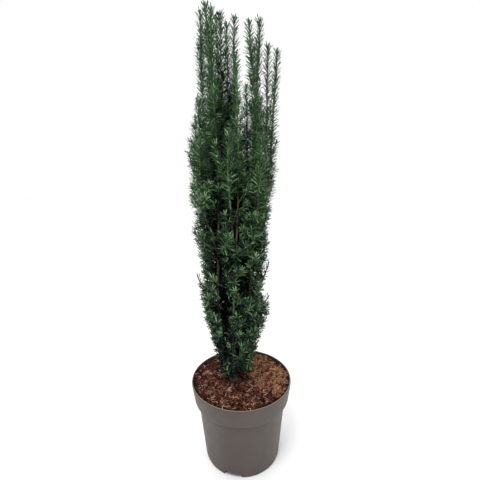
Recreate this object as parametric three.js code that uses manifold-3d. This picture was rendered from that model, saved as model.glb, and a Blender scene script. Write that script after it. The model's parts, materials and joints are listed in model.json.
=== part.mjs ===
// A columnar English yew, about 95 cm tall, in a ten-litre nursery pot.
// Millimetres, +Z up. The origin is the centre of the pot's foot, on the ground.
// +X is to the viewer's right and +Y is away from the viewer.

import * as THREE from "three";
import { mergeVertices } from "three/addons/utils/BufferGeometryUtils.js";
import Module from "manifold-3d";

const wasm = await Module();
wasm.setup();

// ---------------------------------------------------------------------------
// Driving dimensions
// ---------------------------------------------------------------------------

const CLEARANCE = 0.3; // gap left between two solids that touch
const UP = new THREE.Vector3(0, 0, 1);
const EAST = new THREE.Vector3(1, 0, 0);
const GOLDEN_ANGLE = Math.PI * (3 - Math.sqrt(5));
const AXIS_STEP = 25; // spacing of the points that measure a shoot's centreline
const WELD = 1e-4; // corners nearer than this are one corner
const LEAST_EDGE = 0.08; // a cut leaves no detail finer than this
const TWIG_KEY = 50; // twigs are numbered from this on, for their seeds

const POT = {
  rimRadius: 140,
  height: 229,
  collarFoot: 175, // height of the collar's lower edge
  collarFootRadius: 133.5,
  bodyTopRadius: 123,
  baseRadius: 107,
  wall: 2.2,
  edge: 3, // size of the rim's and the foot's moulded edges
  shoulder: 4, // height over which the wall steps out to the collar
  floor: 13, // underside of the raised bottom plate
  floorCorner: 6, // height of the sloping corner between floor and wall
  footRing: 7, // width of the ring that the pot stands on
  notches: 3,
  notchWidth: 47,
  notchHeight: 12,
  notchAngle: -104.5, // degrees, of the first notch's middle
  drains: 6,
  drainRadius: 7,
  drainCircle: 72,
  drainSides: 10,
};
const ROUND_SIDES = 40; // sides of the pot's and the soil's circles

const SOIL = {
  top: 219,
  crumb: 4, // how far the mulch dips between its lumps
  quietRadius: 42, // flat ground round the stem
  rings: [0.9, 0.7, 0.48, 0.26], // of the lumpy top, as shares of its radius
};

// Where the stem stands on the soil. Plant measures below are taken from here.
const STEM_FOOT = new THREE.Vector3(-22, 0, SOIL.top + CLEARANCE);

const TRUNK = {
  top: [15, 10, 440],
  sway: [22, 4], // how far it bows sideways on its way up
  footRadius: 8,
  flare: 4.5, // extra radius at the very foot
  flareHeight: 16,
  tipRadius: 2.6,
  sides: 8,
  steps: 12,
};

// A bough has swung a share of its way out by the first fifth of its rise, and ends nearly upright.
const BOUGH = {
  footRadius: 4.6,
  tipRadius: 2.3,
  swing: 0.55,
  swingRise: 0.2,
  upright: 0.4, // length of the straight last part, as a share of its rise
  sides: 5,
  steps: 7,
};

// Each spire is a bough and the upright leaders on it: the height of the bough's fork on the trunk,
// where it stands in plan at SPIRE_FOOT, and each leader's belly, where it stands widest, and tip.
const SPIRE_FOOT = 262;
const SPIRES = [
  {
    name: "centre",
    leaders: [
      { belly: [12, 42, 600], tip: [22, 45, 944] },
      { belly: [-7, -5, 600], tip: [-10, -5, 930] },
    ],
  },
  {
    name: "left",
    fork: 12,
    foot: [-50, 8],
    leaders: [
      { belly: [-60, 22, 600], tip: [-58, 25, 946] },
      { belly: [-40, 22, 600], tip: [-32, 20, 953] },
      { belly: [-82, 8, 500], tip: [-78, 15, 711] },
    ],
  },
  {
    name: "front_left",
    fork: 84,
    foot: [-34, -40],
    leaders: [
      { belly: [-24, -34, 600], tip: [-41, -30, 938] },
      { belly: [-62, -40, 500], tip: [-62, -38, 738] },
    ],
  },
  {
    name: "front",
    fork: 30,
    foot: [8, -56],
    leaders: [
      { belly: [26, -60, 600], tip: [23, -60, 825] },
      { belly: [2, -78, 600], tip: [7, -78, 662] },
    ],
  },
  {
    name: "front_right",
    fork: 102,
    foot: [48, -40],
    leaders: [
      { belly: [72, -36, 600], tip: [55, -35, 898] },
      { belly: [78, -66, 600], tip: [78, -62, 660] },
    ],
  },
  {
    name: "right",
    fork: 48,
    foot: [62, 2],
    leaders: [{ belly: [104, -2, 600], tip: [121, 0, 851] }],
  },
  {
    name: "back_right",
    fork: 120,
    foot: [48, 44],
    leaders: [
      { belly: [66, 20, 600], tip: [82, 15, 924] },
      { belly: [94, 46, 600], tip: [104, 45, 880] },
    ],
  },
  {
    name: "back",
    fork: 66,
    foot: [6, 60],
    leaders: [
      { belly: [2, 70, 600], tip: [2, 72, 942] },
      { belly: [48, 80, 600], tip: [50, 86, 800] },
    ],
  },
  {
    name: "back_left",
    fork: 138,
    foot: [-34, 44],
    leaders: [
      { belly: [-18, 54, 600], tip: [-23, 55, 951] },
      { belly: [-44, 76, 600], tip: [-36, 84, 760] },
    ],
  },
];
const FORK_OFF = 0.16; // how far up the first leader the next ones leave it

// Side sprays climb the trunk in a spiral: each runs out, bends, and goes up along the crown's face.
const SPRAYS = {
  count: 22,
  lowest: 8,
  highest: 340,
  rise: 96,
  bend: { reach: 0.85, rise: 0.36 }, // where it bends, as shares of its reach and rise
  edgeRise: 0.7, // the share of its rise at which it measures the crown's edge
  rootRadius: 2.4,
  bareLength: 24,
  inset: 15, // from a spray's tip to the crown's edge
  leastReach: 20,
  room: 9, // distance wanted from its centreline to the limbs and the other stems
  tries: 24,
  swing: 0.11, // radians from one try to the next
  seed: 300,
  rootSamples: 3, // its first points, of the twelve that measure its room, lie within its root
  roomSamples: 12,
};

// How far the foliage reaches from the stem's foot, to the left and to the right, by height.
const REACH = [
  { height: 0, left: 34, right: 38 },
  { height: 62, left: 57, right: 62 },
  { height: 122, left: 62, right: 78 },
  { height: 205, left: 79, right: 104 },
  { height: 277, left: 88, right: 96 },
  { height: 350, left: 80, right: 102 },
  { height: 430, left: 104, right: 106 },
  { height: 590, left: 100, right: 127 },
  { height: 960, left: 98, right: 135 },
];

// Foliage starts this far above the soil, and may stand this far out of the outline above.
const CROWN = { lowest: 6, ragged: 5 };

const SHOOT = {
  sides: 3,
  leaderRadius: 2.1,
  twigRadius: 2.1,
  tipRadius: 1.1,
  whorl: 14, // length of stem to each turn of needles
  twist: (50 * Math.PI) / 180, // turn from one whorl to the next
  bareFoot: 6,
  bud: 4,
  footRoom: 5, // clear distance from other stems, low on a twig
  tipRoom: 14, // and at its tip
  limbRoom: 4,
  roomShares: [0.15, 0.4, 0.7, 1], // where along a twig its room is measured
};

const NEEDLE = {
  length: 28,
  tipLength: 18, // needles shorten towards a shoot's tip
  footAngle: (66 * Math.PI) / 180, // from the stem, low on a shoot
  tipAngle: (27 * Math.PI) / 180,
  closing: 1.4, // how late along a shoot its needles close up: 1 is evenly, more is later
  unevenAngle: 0.16,
  unevenLength: 0.12,
  trims: [1, 0.8, 0.62, 0.46], // a crowded needle is cut down by these shares before it is left out
  margin: 1.1, // clear distance kept to the next shoot and to the limbs
  roomShares: [0.4, 0.7, 1], // where along a needle its room is measured
};

// Side twigs, on leaders and on sprays. In mm along the parent: where the first one starts, and how
// far apart the next ones follow. As a share of the parent's length: where they stop. Then their
// length, how wide they spread from the parent, how strongly they turn up, and how far round the
// parent they stand from the side that faces out of the crown, in radians.
const TWIGS = {
  leader: { first: 26, apart: 70, until: 0.45, length: 60, spread: 0.55, lift: 0.9, round: 1.25 },
  spray: { first: 40, apart: 17, until: 0.85, length: 62, spread: 0.85, lift: 0.8, round: 1.45 },
};
const TWIG_UNEVENNESS = { round: 0.2, spread: 0.1, length: 0.15 };

// ---------------------------------------------------------------------------
// Colours
// ---------------------------------------------------------------------------

const plain = (color, roughness) => new THREE.MeshStandardMaterial({ color, roughness, metalness: 0 });
const FINISH = {
  plastic: plain(0x6f6862, 0.55),
  mulch: plain(0x5a3425, 0.95),
  bark: plain(0x6b4f3e, 0.9),
  needles: plain(0x23452c, 0.6),
};

// ---------------------------------------------------------------------------
// Small helpers
// ---------------------------------------------------------------------------

/** A repeatable number from 0 to 1 for the given whole numbers. */
function chance(...keys) {
  let h = 2166136261;
  for (const key of keys) {
    h = Math.imul(h ^ key, 16777619);
    h ^= h >>> 15;
    h = Math.imul(h, 2246822519);
    h ^= h >>> 13;
  }
  return (h >>> 0) / 4294967296;
}

/** A repeatable number from -size to size. */
function jitter(size, ...keys) {
  return size * (2 * chance(...keys) - 1);
}

/** A three.js geometry with only positions, its doubled vertices merged. */
function bare(geometry) {
  const copy = geometry.clone();
  copy.deleteAttribute("normal");
  copy.deleteAttribute("uv");
  return mergeVertices(copy, WELD);
}

/** The manifold solid of a closed geometry. */
function solidOf(geometry) {
  const merged = bare(geometry);
  return new wasm.Manifold(
    new wasm.Mesh({
      numProp: 3,
      vertProperties: new Float32Array(merged.getAttribute("position").array),
      triVerts: new Uint32Array(merged.index.array),
    }),
  );
}

/** The three.js geometry of a manifold solid. */
function geometryOf(solid) {
  const made = solid.getMesh();
  const positions = new Float32Array(made.numVert * 3);
  for (let i = 0; i < made.numVert; i++) {
    positions.set(made.vertProperties.subarray(i * made.numProp, i * made.numProp + 3), i * 3);
  }
  const geometry = new THREE.BufferGeometry();
  geometry.setAttribute("position", new THREE.BufferAttribute(positions, 3));
  geometry.setIndex(new THREE.BufferAttribute(new Uint32Array(made.triVerts), 1));
  geometry.computeVertexNormals();
  return geometry;
}

/** The largest of a cut solid's separate bodies, without the slivers that the cut left on it. */
function cleaned(solid) {
  const bodies = solid.simplify(LEAST_EDGE).decompose();
  return bodies.reduce((best, body) => (body.volume() > best.volume() ? body : best));
}

/** A named mesh. */
function meshOf(name, solid, material) {
  const mesh = new THREE.Mesh(geometryOf(solid), material);
  mesh.name = name;
  return mesh;
}

/** The value at a height in a table of rows, eased between its rows. */
function readTable(rows, height, key) {
  const next = rows.findIndex((row) => row.height > height);
  if (next === 0) return rows[0][key];
  if (next < 0) return rows[rows.length - 1][key];
  const [low, high] = [rows[next - 1], rows[next]];
  const share = THREE.MathUtils.smoothstep(height, low.height, high.height);
  return THREE.MathUtils.lerp(low[key], high[key], share);
}

/** How far foliage reaches from the stem's axis at a height, in the direction of (x, y). */
function reachAt(height, x, y) {
  const toRight = (1 + x / Math.max(Math.hypot(x, y), 1e-6)) / 2;
  return THREE.MathUtils.lerp(readTable(REACH, height, "left"), readTable(REACH, height, "right"), toRight);
}

// ---------------------------------------------------------------------------
// Pot and soil
// ---------------------------------------------------------------------------

/** Radius of the pot body's outer wall at a height. */
function bodyRadius(height) {
  return THREE.MathUtils.mapLinear(height, 0, POT.collarFoot, POT.baseRadius, POT.bodyTopRadius);
}

/** Radius of the inside of the pot's collar at a height. */
function collarInside(height) {
  const foot = POT.collarFootRadius - POT.wall;
  const top = POT.rimRadius - POT.edge - 1;
  return THREE.MathUtils.mapLinear(height, POT.collarFoot + POT.shoulder, POT.height - POT.edge, foot, top);
}

/** A solid of revolution about +Z from [radius, height] pairs, listed from the bottom of the axis up. */
function turned(profile, segments) {
  const lathe = new THREE.LatheGeometry(profile.map(([r, z]) => new THREE.Vector2(r, z)), segments);
  return solidOf(lathe.rotateX(Math.PI / 2));
}

/** The pot: one thin shell with a collar, a raised floor, drain holes and a notched foot. */
function pot() {
  const { rimRadius, height, collarFoot, collarFootRadius, bodyTopRadius } = POT;
  const { baseRadius, wall, edge, shoulder, floor, floorCorner } = POT;
  const footInside = baseRadius - POT.footRing;
  const shell = turned(
    [
      [0, floor],
      [footInside - 1, floor],
      [footInside, 0],
      [baseRadius - edge / 2, 0],
      [baseRadius, edge],
      [bodyTopRadius, collarFoot - shoulder],
      [collarFootRadius - edge / 2, collarFoot],
      [collarFootRadius, collarFoot + shoulder],
      [rimRadius, height - edge],
      [rimRadius - edge / 3, height],
      [rimRadius - edge, height],
      [collarInside(height - edge), height - edge],
      [collarInside(collarFoot + shoulder), collarFoot + shoulder],
      [bodyTopRadius - wall, collarFoot],
      [bodyRadius(floor + floorCorner) - wall, floor + floorCorner],
      [footInside + wall, floor + wall],
      [0, floor + wall],
    ],
    ROUND_SIDES,
  );

  const cuts = [];
  for (let i = 0; i < POT.notches; i++) {
    const notch = new THREE.BoxGeometry(4 * POT.footRing, POT.notchWidth, 2 * POT.notchHeight);
    notch.translate(baseRadius, 0, 0);
    notch.rotateZ(THREE.MathUtils.degToRad(POT.notchAngle) + (i * 2 * Math.PI) / POT.notches);
    cuts.push(solidOf(notch));
  }
  for (let i = 0; i < POT.drains; i++) {
    const drain = new THREE.CylinderGeometry(POT.drainRadius, POT.drainRadius, 4 * wall, POT.drainSides);
    drain.rotateX(Math.PI / 2).translate(POT.drainCircle, 0, floor + wall / 2);
    drain.rotateZ(((i + 0.5) * 2 * Math.PI) / POT.drains);
    cuts.push(solidOf(drain));
  }
  return shell.subtract(wasm.Manifold.union(cuts));
}

/** The root ball and its mulch: it fills the pot, with a lumpy top that is flat round the stem. */
function soil() {
  const { collarFoot, shoulder, wall, floor, floorCorner } = POT;
  const bottom = floor + wall + CLEARANCE;
  const topRadius = collarInside(SOIL.top) - CLEARANCE;
  const rings = SOIL.rings.map((share) => [share * topRadius, SOIL.top]);
  const body = turned(
    [
      [0, bottom],
      [POT.baseRadius - POT.footRing, bottom],
      [bodyRadius(floor + floorCorner) - wall - 2 * CLEARANCE, floor + floorCorner + 1],
      [POT.bodyTopRadius - wall - CLEARANCE, collarFoot + 1],
      [collarInside(collarFoot + shoulder) - CLEARANCE, collarFoot + shoulder + 1],
      [topRadius, SOIL.top],
      ...rings,
      [0, SOIL.top],
    ],
    ROUND_SIDES,
  );
  return body.warp((vertex) => {
    const [x, y, z] = vertex;
    const nearStem = Math.hypot(x - STEM_FOOT.x, y - STEM_FOOT.y) < SOIL.quietRadius;
    const atEdge = Math.hypot(x, y) > topRadius - 1;
    if (z > SOIL.top - 1 && !nearStem && !atEdge) {
      vertex[2] -= SOIL.crumb * chance(Math.round(x), Math.round(y));
    }
  });
}

// ---------------------------------------------------------------------------
// Limbs
// ---------------------------------------------------------------------------

/** A curve's points and tangents at some shares, with normals that turn as little as they can. */
function framesAlong(curve, shares, firstNormal) {
  let normal = firstNormal;
  return shares.map((share) => {
    const tangent = curve.getTangentAt(share);
    normal = normal.clone().addScaledVector(tangent, -normal.dot(tangent)).normalize();
    return { point: curve.getPointAt(share), tangent, normal, side: tangent.clone().cross(normal) };
  });
}

/** A closed tapering tube along a curve: a cylinder whose rows of corners are laid along it. */
function taperedTube(curve, radiusAt, sides, rows, { twist = 0, normal = EAST } = {}) {
  const tube = bare(new THREE.CylinderGeometry(1, 1, 1, sides, rows));
  const frames = framesAlong(curve, evenly(rows), normal);
  const position = tube.getAttribute("position");
  const rowOf = [];
  for (let i = 0; i < position.count; i++) {
    const row = Math.round((position.getY(i) + 0.5) * rows);
    const frame = frames[row];
    const onRim = Math.hypot(position.getX(i), position.getZ(i)) > 0.5;
    const radius = onRim ? radiusAt(row / rows) : 0;
    const turn = Math.atan2(-position.getZ(i), position.getX(i)) + row * twist;
    const place = frame.point.clone();
    place.addScaledVector(frame.normal, radius * Math.cos(turn));
    place.addScaledVector(frame.side, radius * Math.sin(turn));
    position.setXYZ(i, place.x, place.y, place.z);
    rowOf.push(row);
  }
  return { tube, frames, rowOf };
}

/** Even shares from 0 to 1. */
function evenly(steps) {
  return Array.from({ length: steps + 1 }, (_, i) => i / steps);
}

/** A limb: its centreline, how thick it is along it, and its solid, which can be made a little fatter. */
class Limb {
  constructor(curve, radiusAt, sides, steps) {
    Object.assign(this, { curve, radiusAt, sides, steps });
    this.samples = curve.getSpacedPoints(2 * steps);
  }

  solid(extra = 0) {
    const radius = (share) => this.radiusAt(share) + extra;
    return solidOf(taperedTube(this.curve, radius, this.sides, this.steps).tube);
  }

  /** Clear distance from a point to the limb's bark. */
  distanceTo(point) {
    let best = Infinity;
    this.samples.forEach((sample, i) => {
      if (i === 0) return;
      const share = i / (this.samples.length - 1);
      best = Math.min(best, toSegment(point, this.samples[i - 1], sample) - this.radiusAt(share));
    });
    return best;
  }
}

const segment = new THREE.Line3();
const nearest = new THREE.Vector3();

/** Distance from a point to the segment from a to b. */
function toSegment(point, a, b) {
  segment.set(a, b).closestPointToPoint(point, true, nearest);
  return nearest.distanceTo(point);
}

/** The trunk, from its flared foot on the soil to its tip inside the crown. */
function trunkLimb() {
  const { footRadius, tipRadius, flare, flareHeight } = TRUNK;
  const top = new THREE.Vector3(...TRUNK.top);
  const curve = new THREE.CubicBezierCurve3(
    new THREE.Vector3(),
    new THREE.Vector3(0, 0, top.z / 3),
    new THREE.Vector3(...TRUNK.sway, (2 * top.z) / 3),
    top,
  );
  const length = curve.getLength();
  const radiusAt = (share) =>
    THREE.MathUtils.lerp(footRadius, tipRadius, share) + flare * Math.exp((-share * length) / flareHeight);
  return new Limb(curve, radiusAt, TRUNK.sides, TRUNK.steps);
}

/** The place on the trunk's centreline at a height. */
function trunkAt(trunk, height) {
  return trunk.curve.getPointAt(Math.min(1, height / trunk.curve.getLength()));
}

/** A bough: it leaves the trunk low down, swings out, and rises almost upright to its spire. */
function boughLimb(trunk, { fork, foot, leaders }) {
  const from = trunkAt(trunk, fork);
  const to = new THREE.Vector3(foot[0], foot[1], SPIRE_FOOT);
  const across = new THREE.Vector3(to.x - from.x, to.y - from.y, 0);
  const rise = to.z - from.z;
  const climb = new THREE.Vector3(...leaders[0].belly).sub(to).normalize();
  const curve = new THREE.CubicBezierCurve3(
    from,
    from.clone().addScaledVector(across, BOUGH.swing).addScaledVector(UP, BOUGH.swingRise * rise),
    to.clone().addScaledVector(climb, -BOUGH.upright * rise),
    to,
  );
  const radiusAt = (share) => THREE.MathUtils.lerp(BOUGH.footRadius, BOUGH.tipRadius, share);
  return new Limb(curve, radiusAt, BOUGH.sides, BOUGH.steps);
}

// ---------------------------------------------------------------------------
// Foliage
// ---------------------------------------------------------------------------

/** A shoot's centreline: it sets out in one direction and turns up towards its tip. */
function shootCurve(start, direction, length, lift) {
  const middle = start.clone().addScaledVector(direction, length / 2);
  const turned = direction.clone().addScaledVector(UP, lift).normalize();
  return new THREE.QuadraticBezierCurve3(start, middle, middle.clone().addScaledVector(turned, length / 2));
}

/** A leader's centreline, from a place low in its spire, past its belly and up to its tip. */
function leaderCurve(from, { belly, tip }) {
  return new THREE.CatmullRomCurve3([from, new THREE.Vector3(...belly), new THREE.Vector3(...tip)]);
}

/** One shoot: a three-sided stem, bare at its foot, that bears needles from there to its bud. */
class Shoot {
  constructor(curve, radius, bareLength, key, root = null) {
    Object.assign(this, { curve, radius, bareLength, key, root });
    this.length = curve.getLength();
    this.rows = Math.max(2, Math.round(this.length / SHOOT.whorl));
    this.axis = curve.getSpacedPoints(Math.max(4, Math.round(this.length / AXIS_STEP)));
    this.ball = new THREE.Sphere().setFromPoints(this.axis);
    this.buildStem();
  }

  /** The stem's corners and faces. A twig's first row is the face of its parent that it grows from. */
  buildStem() {
    const radiusAt = (share) => THREE.MathUtils.lerp(this.radius, SHOOT.tipRadius, share);
    const normal = this.root ? this.root.firstNormal(this.curve.getTangentAt(0)) : EAST;
    const options = { twist: SHOOT.twist, normal };
    const { tube, frames, rowOf } = taperedTube(this.curve, radiusAt, SHOOT.sides, this.rows, options);
    const position = tube.getAttribute("position");
    this.frames = frames;
    this.corners = rowOf.map((row, i) => {
      const place = new THREE.Vector3().fromBufferAttribute(position, i);
      const onAxis = place.distanceTo(frames[row].point) < 1e-3;
      if (onAxis && row === this.rows) place.addScaledVector(frames[row].tangent, SHOOT.bud);
      return { place, row, onAxis };
    });
    this.faces = [];
    for (let f = 0; f < tube.index.count; f += 3) {
      const ids = [0, 1, 2].map((c) => tube.index.getX(f + c));
      const rows = ids.map((id) => rowOf[id]);
      const row = Math.min(...rows);
      const standsUp = Math.max(...rows) === row + 1 && rows.filter((r) => r === row).length === 2;
      const middle = new THREE.Vector3();
      for (const id of ids) middle.addScaledVector(this.corners[id].place, 1 / 3);
      this.faces.push({ ids, row, standsUp, middle, isFoot: Math.max(...rows) === 0, bearsTwig: false });
    }
  }

  /** Distance from a point to the shoot's centreline. */
  distanceTo(point) {
    let best = Infinity;
    for (let i = 1; i < this.axis.length; i++) {
      best = Math.min(best, toSegment(point, this.axis[i - 1], this.axis[i]));
    }
    return best;
  }

  /** Whether a point is more than a distance away from the centreline. */
  isBeyond(point, distance) {
    return this.ball.distanceToPoint(point) > distance || this.distanceTo(point) > distance;
  }

  /** The way out of the stem through a face. */
  outwardAt(face) {
    const { point, tangent } = this.frames[face.row];
    const out = face.middle.clone().sub(point);
    return out.addScaledVector(tangent, -out.dot(tangent)).normalize();
  }

  /** The free face of one row of the stem that looks most nearly in a direction. */
  faceTowards(row, direction) {
    const faces = this.faces.filter((face) => face.row === row && face.standsUp && !face.bearsTwig);
    const facing = (face) => this.outwardAt(face).dot(direction);
    return faces.reduce((best, face) => (facing(face) > facing(best) ? face : best));
  }

  /** The direction and full length of the needle on a face. */
  needleOn(face, seed) {
    const draw = [seed, this.key, face.ids[0], face.ids[1]];
    const share = (face.row + 0.5) / this.rows;
    const angle = THREE.MathUtils.lerp(NEEDLE.footAngle, NEEDLE.tipAngle, share ** NEEDLE.closing);
    const lean = angle + jitter(NEEDLE.unevenAngle, ...draw);
    const direction = this.outwardAt(face).multiplyScalar(Math.sin(lean));
    direction.addScaledVector(this.frames[face.row].tangent, Math.cos(lean));
    const size = THREE.MathUtils.lerp(NEEDLE.length, NEEDLE.tipLength, share ** 2);
    return { direction, size: size * (1 + jitter(NEEDLE.unevenLength, ...draw, 5)) };
  }
}

/** The face of a parent shoot that a twig grows from. */
class Root {
  constructor(parent, face) {
    Object.assign(this, { parent, face });
  }

  /** Takes the face, so that it is left open for the twig and bears no needle. */
  take() {
    this.face.bearsTwig = true;
  }

  /** The frame normal that turns a twig's first ring of corners as little as it can from the face's own. */
  firstNormal(tangent) {
    const first = new THREE.Vector3();
    this.face.ids.forEach((id, i) => {
      const corner = this.parent.corners[id].place.clone().sub(this.face.middle);
      corner.addScaledVector(tangent, -corner.dot(tangent));
      first.add(corner.applyAxisAngle(tangent, (-i * 2 * Math.PI) / SHOOT.sides));
    });
    return tangent.clone().cross(first).applyAxisAngle(tangent, -SHOOT.twist).normalize();
  }
}

/** One mass of foliage: the main shoots that rise from its root, and the twigs grown on them. */
class Mass {
  constructor(name, seed, shoots, twigs) {
    Object.assign(this, { name, seed, shoots, twigs });
  }
}

/** The plant's limbs and masses, and the space that each shoot keeps to. */
class Plant {
  constructor() {
    this.trunk = trunkLimb();
    this.boughs = new Map();
    for (const spire of SPIRES) {
      if (spire.foot) this.boughs.set(spire.name, boughLimb(this.trunk, spire));
    }
    this.limbs = [this.trunk, ...this.boughs.values()];
    this.limbRoom = wasm.Manifold.union(this.limbs.map((limb) => limb.solid(CLEARANCE)));
    this.masses = SPIRES.map((spire, i) => this.spireMass(spire, i + 1));
    for (let i = 0; i < SPRAYS.count; i++) this.masses.push(this.sprayMass(i));
    for (const mass of this.masses) this.growTwigs(mass);
  }

  /** The upright leaders on a bough's tip, or on the trunk's: the first bears the others. */
  spireMass(spire, seed) {
    const carrier = this.boughs.get(spire.name) ?? this.trunk;
    const foot = carrier.curve.getPointAt(1);
    foot.addScaledVector(carrier.curve.getTangentAt(1), CLEARANCE);
    const [leader, ...others] = spire.leaders;
    const first = new Shoot(leaderCurve(foot, leader), carrier.radiusAt(1), SHOOT.bareFoot, 0);
    const shoots = [first];
    others.forEach((other, i) => {
      const row = Math.round(FORK_OFF * (i + 1) * first.rows);
      const towards = new THREE.Vector3(...other.belly).sub(first.frames[row].point);
      const face = first.faceTowards(row, towards);
      const root = new Root(first, face);
      root.take();
      shoots.push(new Shoot(leaderCurve(face.middle, other), SHOOT.leaderRadius, SHOOT.bareFoot, i + 1, root));
    });
    return new Mass(`spire_${spire.name}`, seed, shoots, TWIGS.leader);
  }

  /** A spray on the trunk. It swings a little to either side to find a way out between the limbs. */
  sprayMass(index) {
    const height = THREE.MathUtils.mapLinear(index, 0, SPRAYS.count - 1, SPRAYS.lowest, SPRAYS.highest);
    const curves = Array.from({ length: SPRAYS.tries }, (_, i) => {
      const swing = (i % 2 ? 1 : -1) * Math.ceil(i / 2) * SPRAYS.swing;
      return this.sprayCurve(height, index * GOLDEN_ANGLE + swing);
    });
    const rooms = curves.map((curve) => Math.min(SPRAYS.room, this.roomAround(curve)));
    const roomiest = curves[rooms.indexOf(Math.max(...rooms))];
    const shoot = new Shoot(roomiest, SPRAYS.rootRadius, SPRAYS.bareLength, 0);
    return new Mass(`spray_${String(index + 1).padStart(2, "0")}`, SPRAYS.seed + index, [shoot], TWIGS.spray);
  }

  /** A spray's centreline: out from the trunk to the crown's face, and then up along it. */
  sprayCurve(height, azimuth) {
    const { rise, bend, edgeRise } = SPRAYS;
    const from = trunkAt(this.trunk, height);
    const out = new THREE.Vector3(Math.cos(azimuth), Math.sin(azimuth), 0);
    const edge = reachAt(height + edgeRise * rise, out.x, out.y) - SPRAYS.inset;
    const reach = Math.max(SPRAYS.leastReach, edge - from.dot(out));
    return new THREE.QuadraticBezierCurve3(
      from,
      from.clone().addScaledVector(out, bend.reach * reach).addScaledVector(UP, bend.rise * rise),
      from.clone().addScaledVector(out, reach).addScaledVector(UP, rise),
    );
  }

  /** The least distance from a spray's centreline, past its root, to the limbs and stems so far. */
  roomAround(curve) {
    const beyondRoot = curve.getSpacedPoints(SPRAYS.roomSamples).slice(SPRAYS.rootSamples);
    const obstacles = [...this.limbs, ...this.masses.flatMap((mass) => mass.shoots)];
    return Math.min(...beyondRoot.flatMap((point) => obstacles.map((obstacle) => obstacle.distanceTo(point))));
  }

  /** Whether a point is inside the crown, above the soil, and clear of the limbs. */
  inCrown(point, margin) {
    if (point.z < CROWN.lowest) return false;
    if (Math.hypot(point.x, point.y) > reachAt(point.z, point.x, point.y) + CROWN.ragged) return false;
    return this.limbs.every((limb) => limb.distanceTo(point) > margin);
  }

  /** Whether a point is nearer to its own shoot than to any other, by a margin that doubles between masses. */
  ownsPoint(mass, shoot, point) {
    const own = shoot.distanceTo(point);
    return this.masses.every((other) => {
      const clear = own + (other === mass ? 1 : 2) * NEEDLE.margin;
      return other.shoots.every((rival) => rival === shoot || rival.isBeyond(point, clear));
    });
  }

  /** Twigs on a mass's main shoots, to left and right in turn, each kept only where it has room. */
  growTwigs(mass) {
    const rule = mass.twigs;
    for (const parent of [...mass.shoots]) {
      for (let n = 0, at = rule.first; at < rule.until * parent.length; n++, at += rule.apart) {
        const draw = [mass.seed, parent.key, n];
        const row = Math.round((at / parent.length) * parent.rows);
        const { point, tangent } = parent.frames[row];
        const out = new THREE.Vector3(point.x, point.y, 0).normalize();
        out.addScaledVector(tangent, -out.dot(tangent)).normalize();
        const turn = (n % 2 ? 1 : -1) * (rule.round + jitter(TWIG_UNEVENNESS.round, ...draw, 1));
        out.applyAxisAngle(tangent, turn);
        const face = parent.faceTowards(row, out);
        const spread = rule.spread + jitter(TWIG_UNEVENNESS.spread, ...draw, 2);
        const direction = out.multiplyScalar(Math.sin(spread)).addScaledVector(tangent, Math.cos(spread));
        const length = rule.length * (1 + jitter(TWIG_UNEVENNESS.length, ...draw, 3));
        const curve = shootCurve(face.middle, direction, length, rule.lift);
        const key = TWIG_KEY * (parent.key + 1) + n;
        const twig = new Shoot(curve, SHOOT.twigRadius, SHOOT.bareFoot, key, new Root(parent, face));
        if (!this.hasRoom(parent, twig)) continue;
        twig.root.take();
        mass.shoots.push(twig);
      }
    }
  }

  /** Whether a twig stays in the crown, off its neighbours, and clear of the limbs. */
  hasRoom(parent, twig) {
    const rivals = this.masses.flatMap((other) => other.shoots).filter((rival) => rival !== parent);
    return SHOOT.roomShares.every((share) => {
      const point = twig.curve.getPointAt(share);
      const room = THREE.MathUtils.lerp(SHOOT.footRoom, SHOOT.tipRoom, share);
      return this.inCrown(point, SHOOT.limbRoom) && rivals.every((rival) => rival.isBeyond(point, room));
    });
  }

  /** The tip of the needle on one face, cut down to what has room, or null where the face stays bare. */
  needleTip(mass, shoot, face) {
    const fromFoot = ((face.row + 0.5) / shoot.rows) * shoot.length;
    if (!face.standsUp || fromFoot < shoot.bareLength || (shoot.root && face.row === 0)) return null;
    const { direction, size } = shoot.needleOn(face, mass.seed);
    const along = (reach) => face.middle.clone().addScaledVector(direction, reach * size);
    const fits = (reach) =>
      NEEDLE.roomShares.every((part) => {
        const point = along(part * reach);
        return this.inCrown(point, NEEDLE.margin) && this.ownsPoint(mass, shoot, point);
      });
    const trim = NEEDLE.trims.find(fits);
    return trim ? along(trim) : null;
  }

  /** A mass's solid: one skin over all its stems and needles, cut clear of the limbs. */
  massSolid(mass) {
    const places = [];
    const faces = [];
    for (const shoot of mass.shoots) {
      const { root } = shoot;
      const footRing = root ? root.face.ids.map((id) => root.parent.skinIds[id]) : [];
      shoot.skinIds = shoot.corners.map(({ place, row, onAxis }) => {
        if (!root || row > 0) return places.push(place) - 1;
        return onAxis ? null : footRing.shift();
      });
      for (const face of shoot.faces) {
        if (face.bearsTwig || (root && face.isFoot)) continue;
        const [a, b, c] = face.ids.map((id) => shoot.skinIds[id]);
        const tip = this.needleTip(mass, shoot, face);
        if (tip) {
          const t = places.push(tip) - 1;
          faces.push(a, b, t, b, c, t, c, a, t);
        } else {
          faces.push(a, b, c);
        }
      }
    }
    const skin = new THREE.BufferGeometry().setFromPoints(places);
    skin.setIndex(faces);
    return cleaned(solidOf(skin).subtract(this.limbRoom));
  }
}

// ---------------------------------------------------------------------------
// Assembly
// ---------------------------------------------------------------------------

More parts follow.
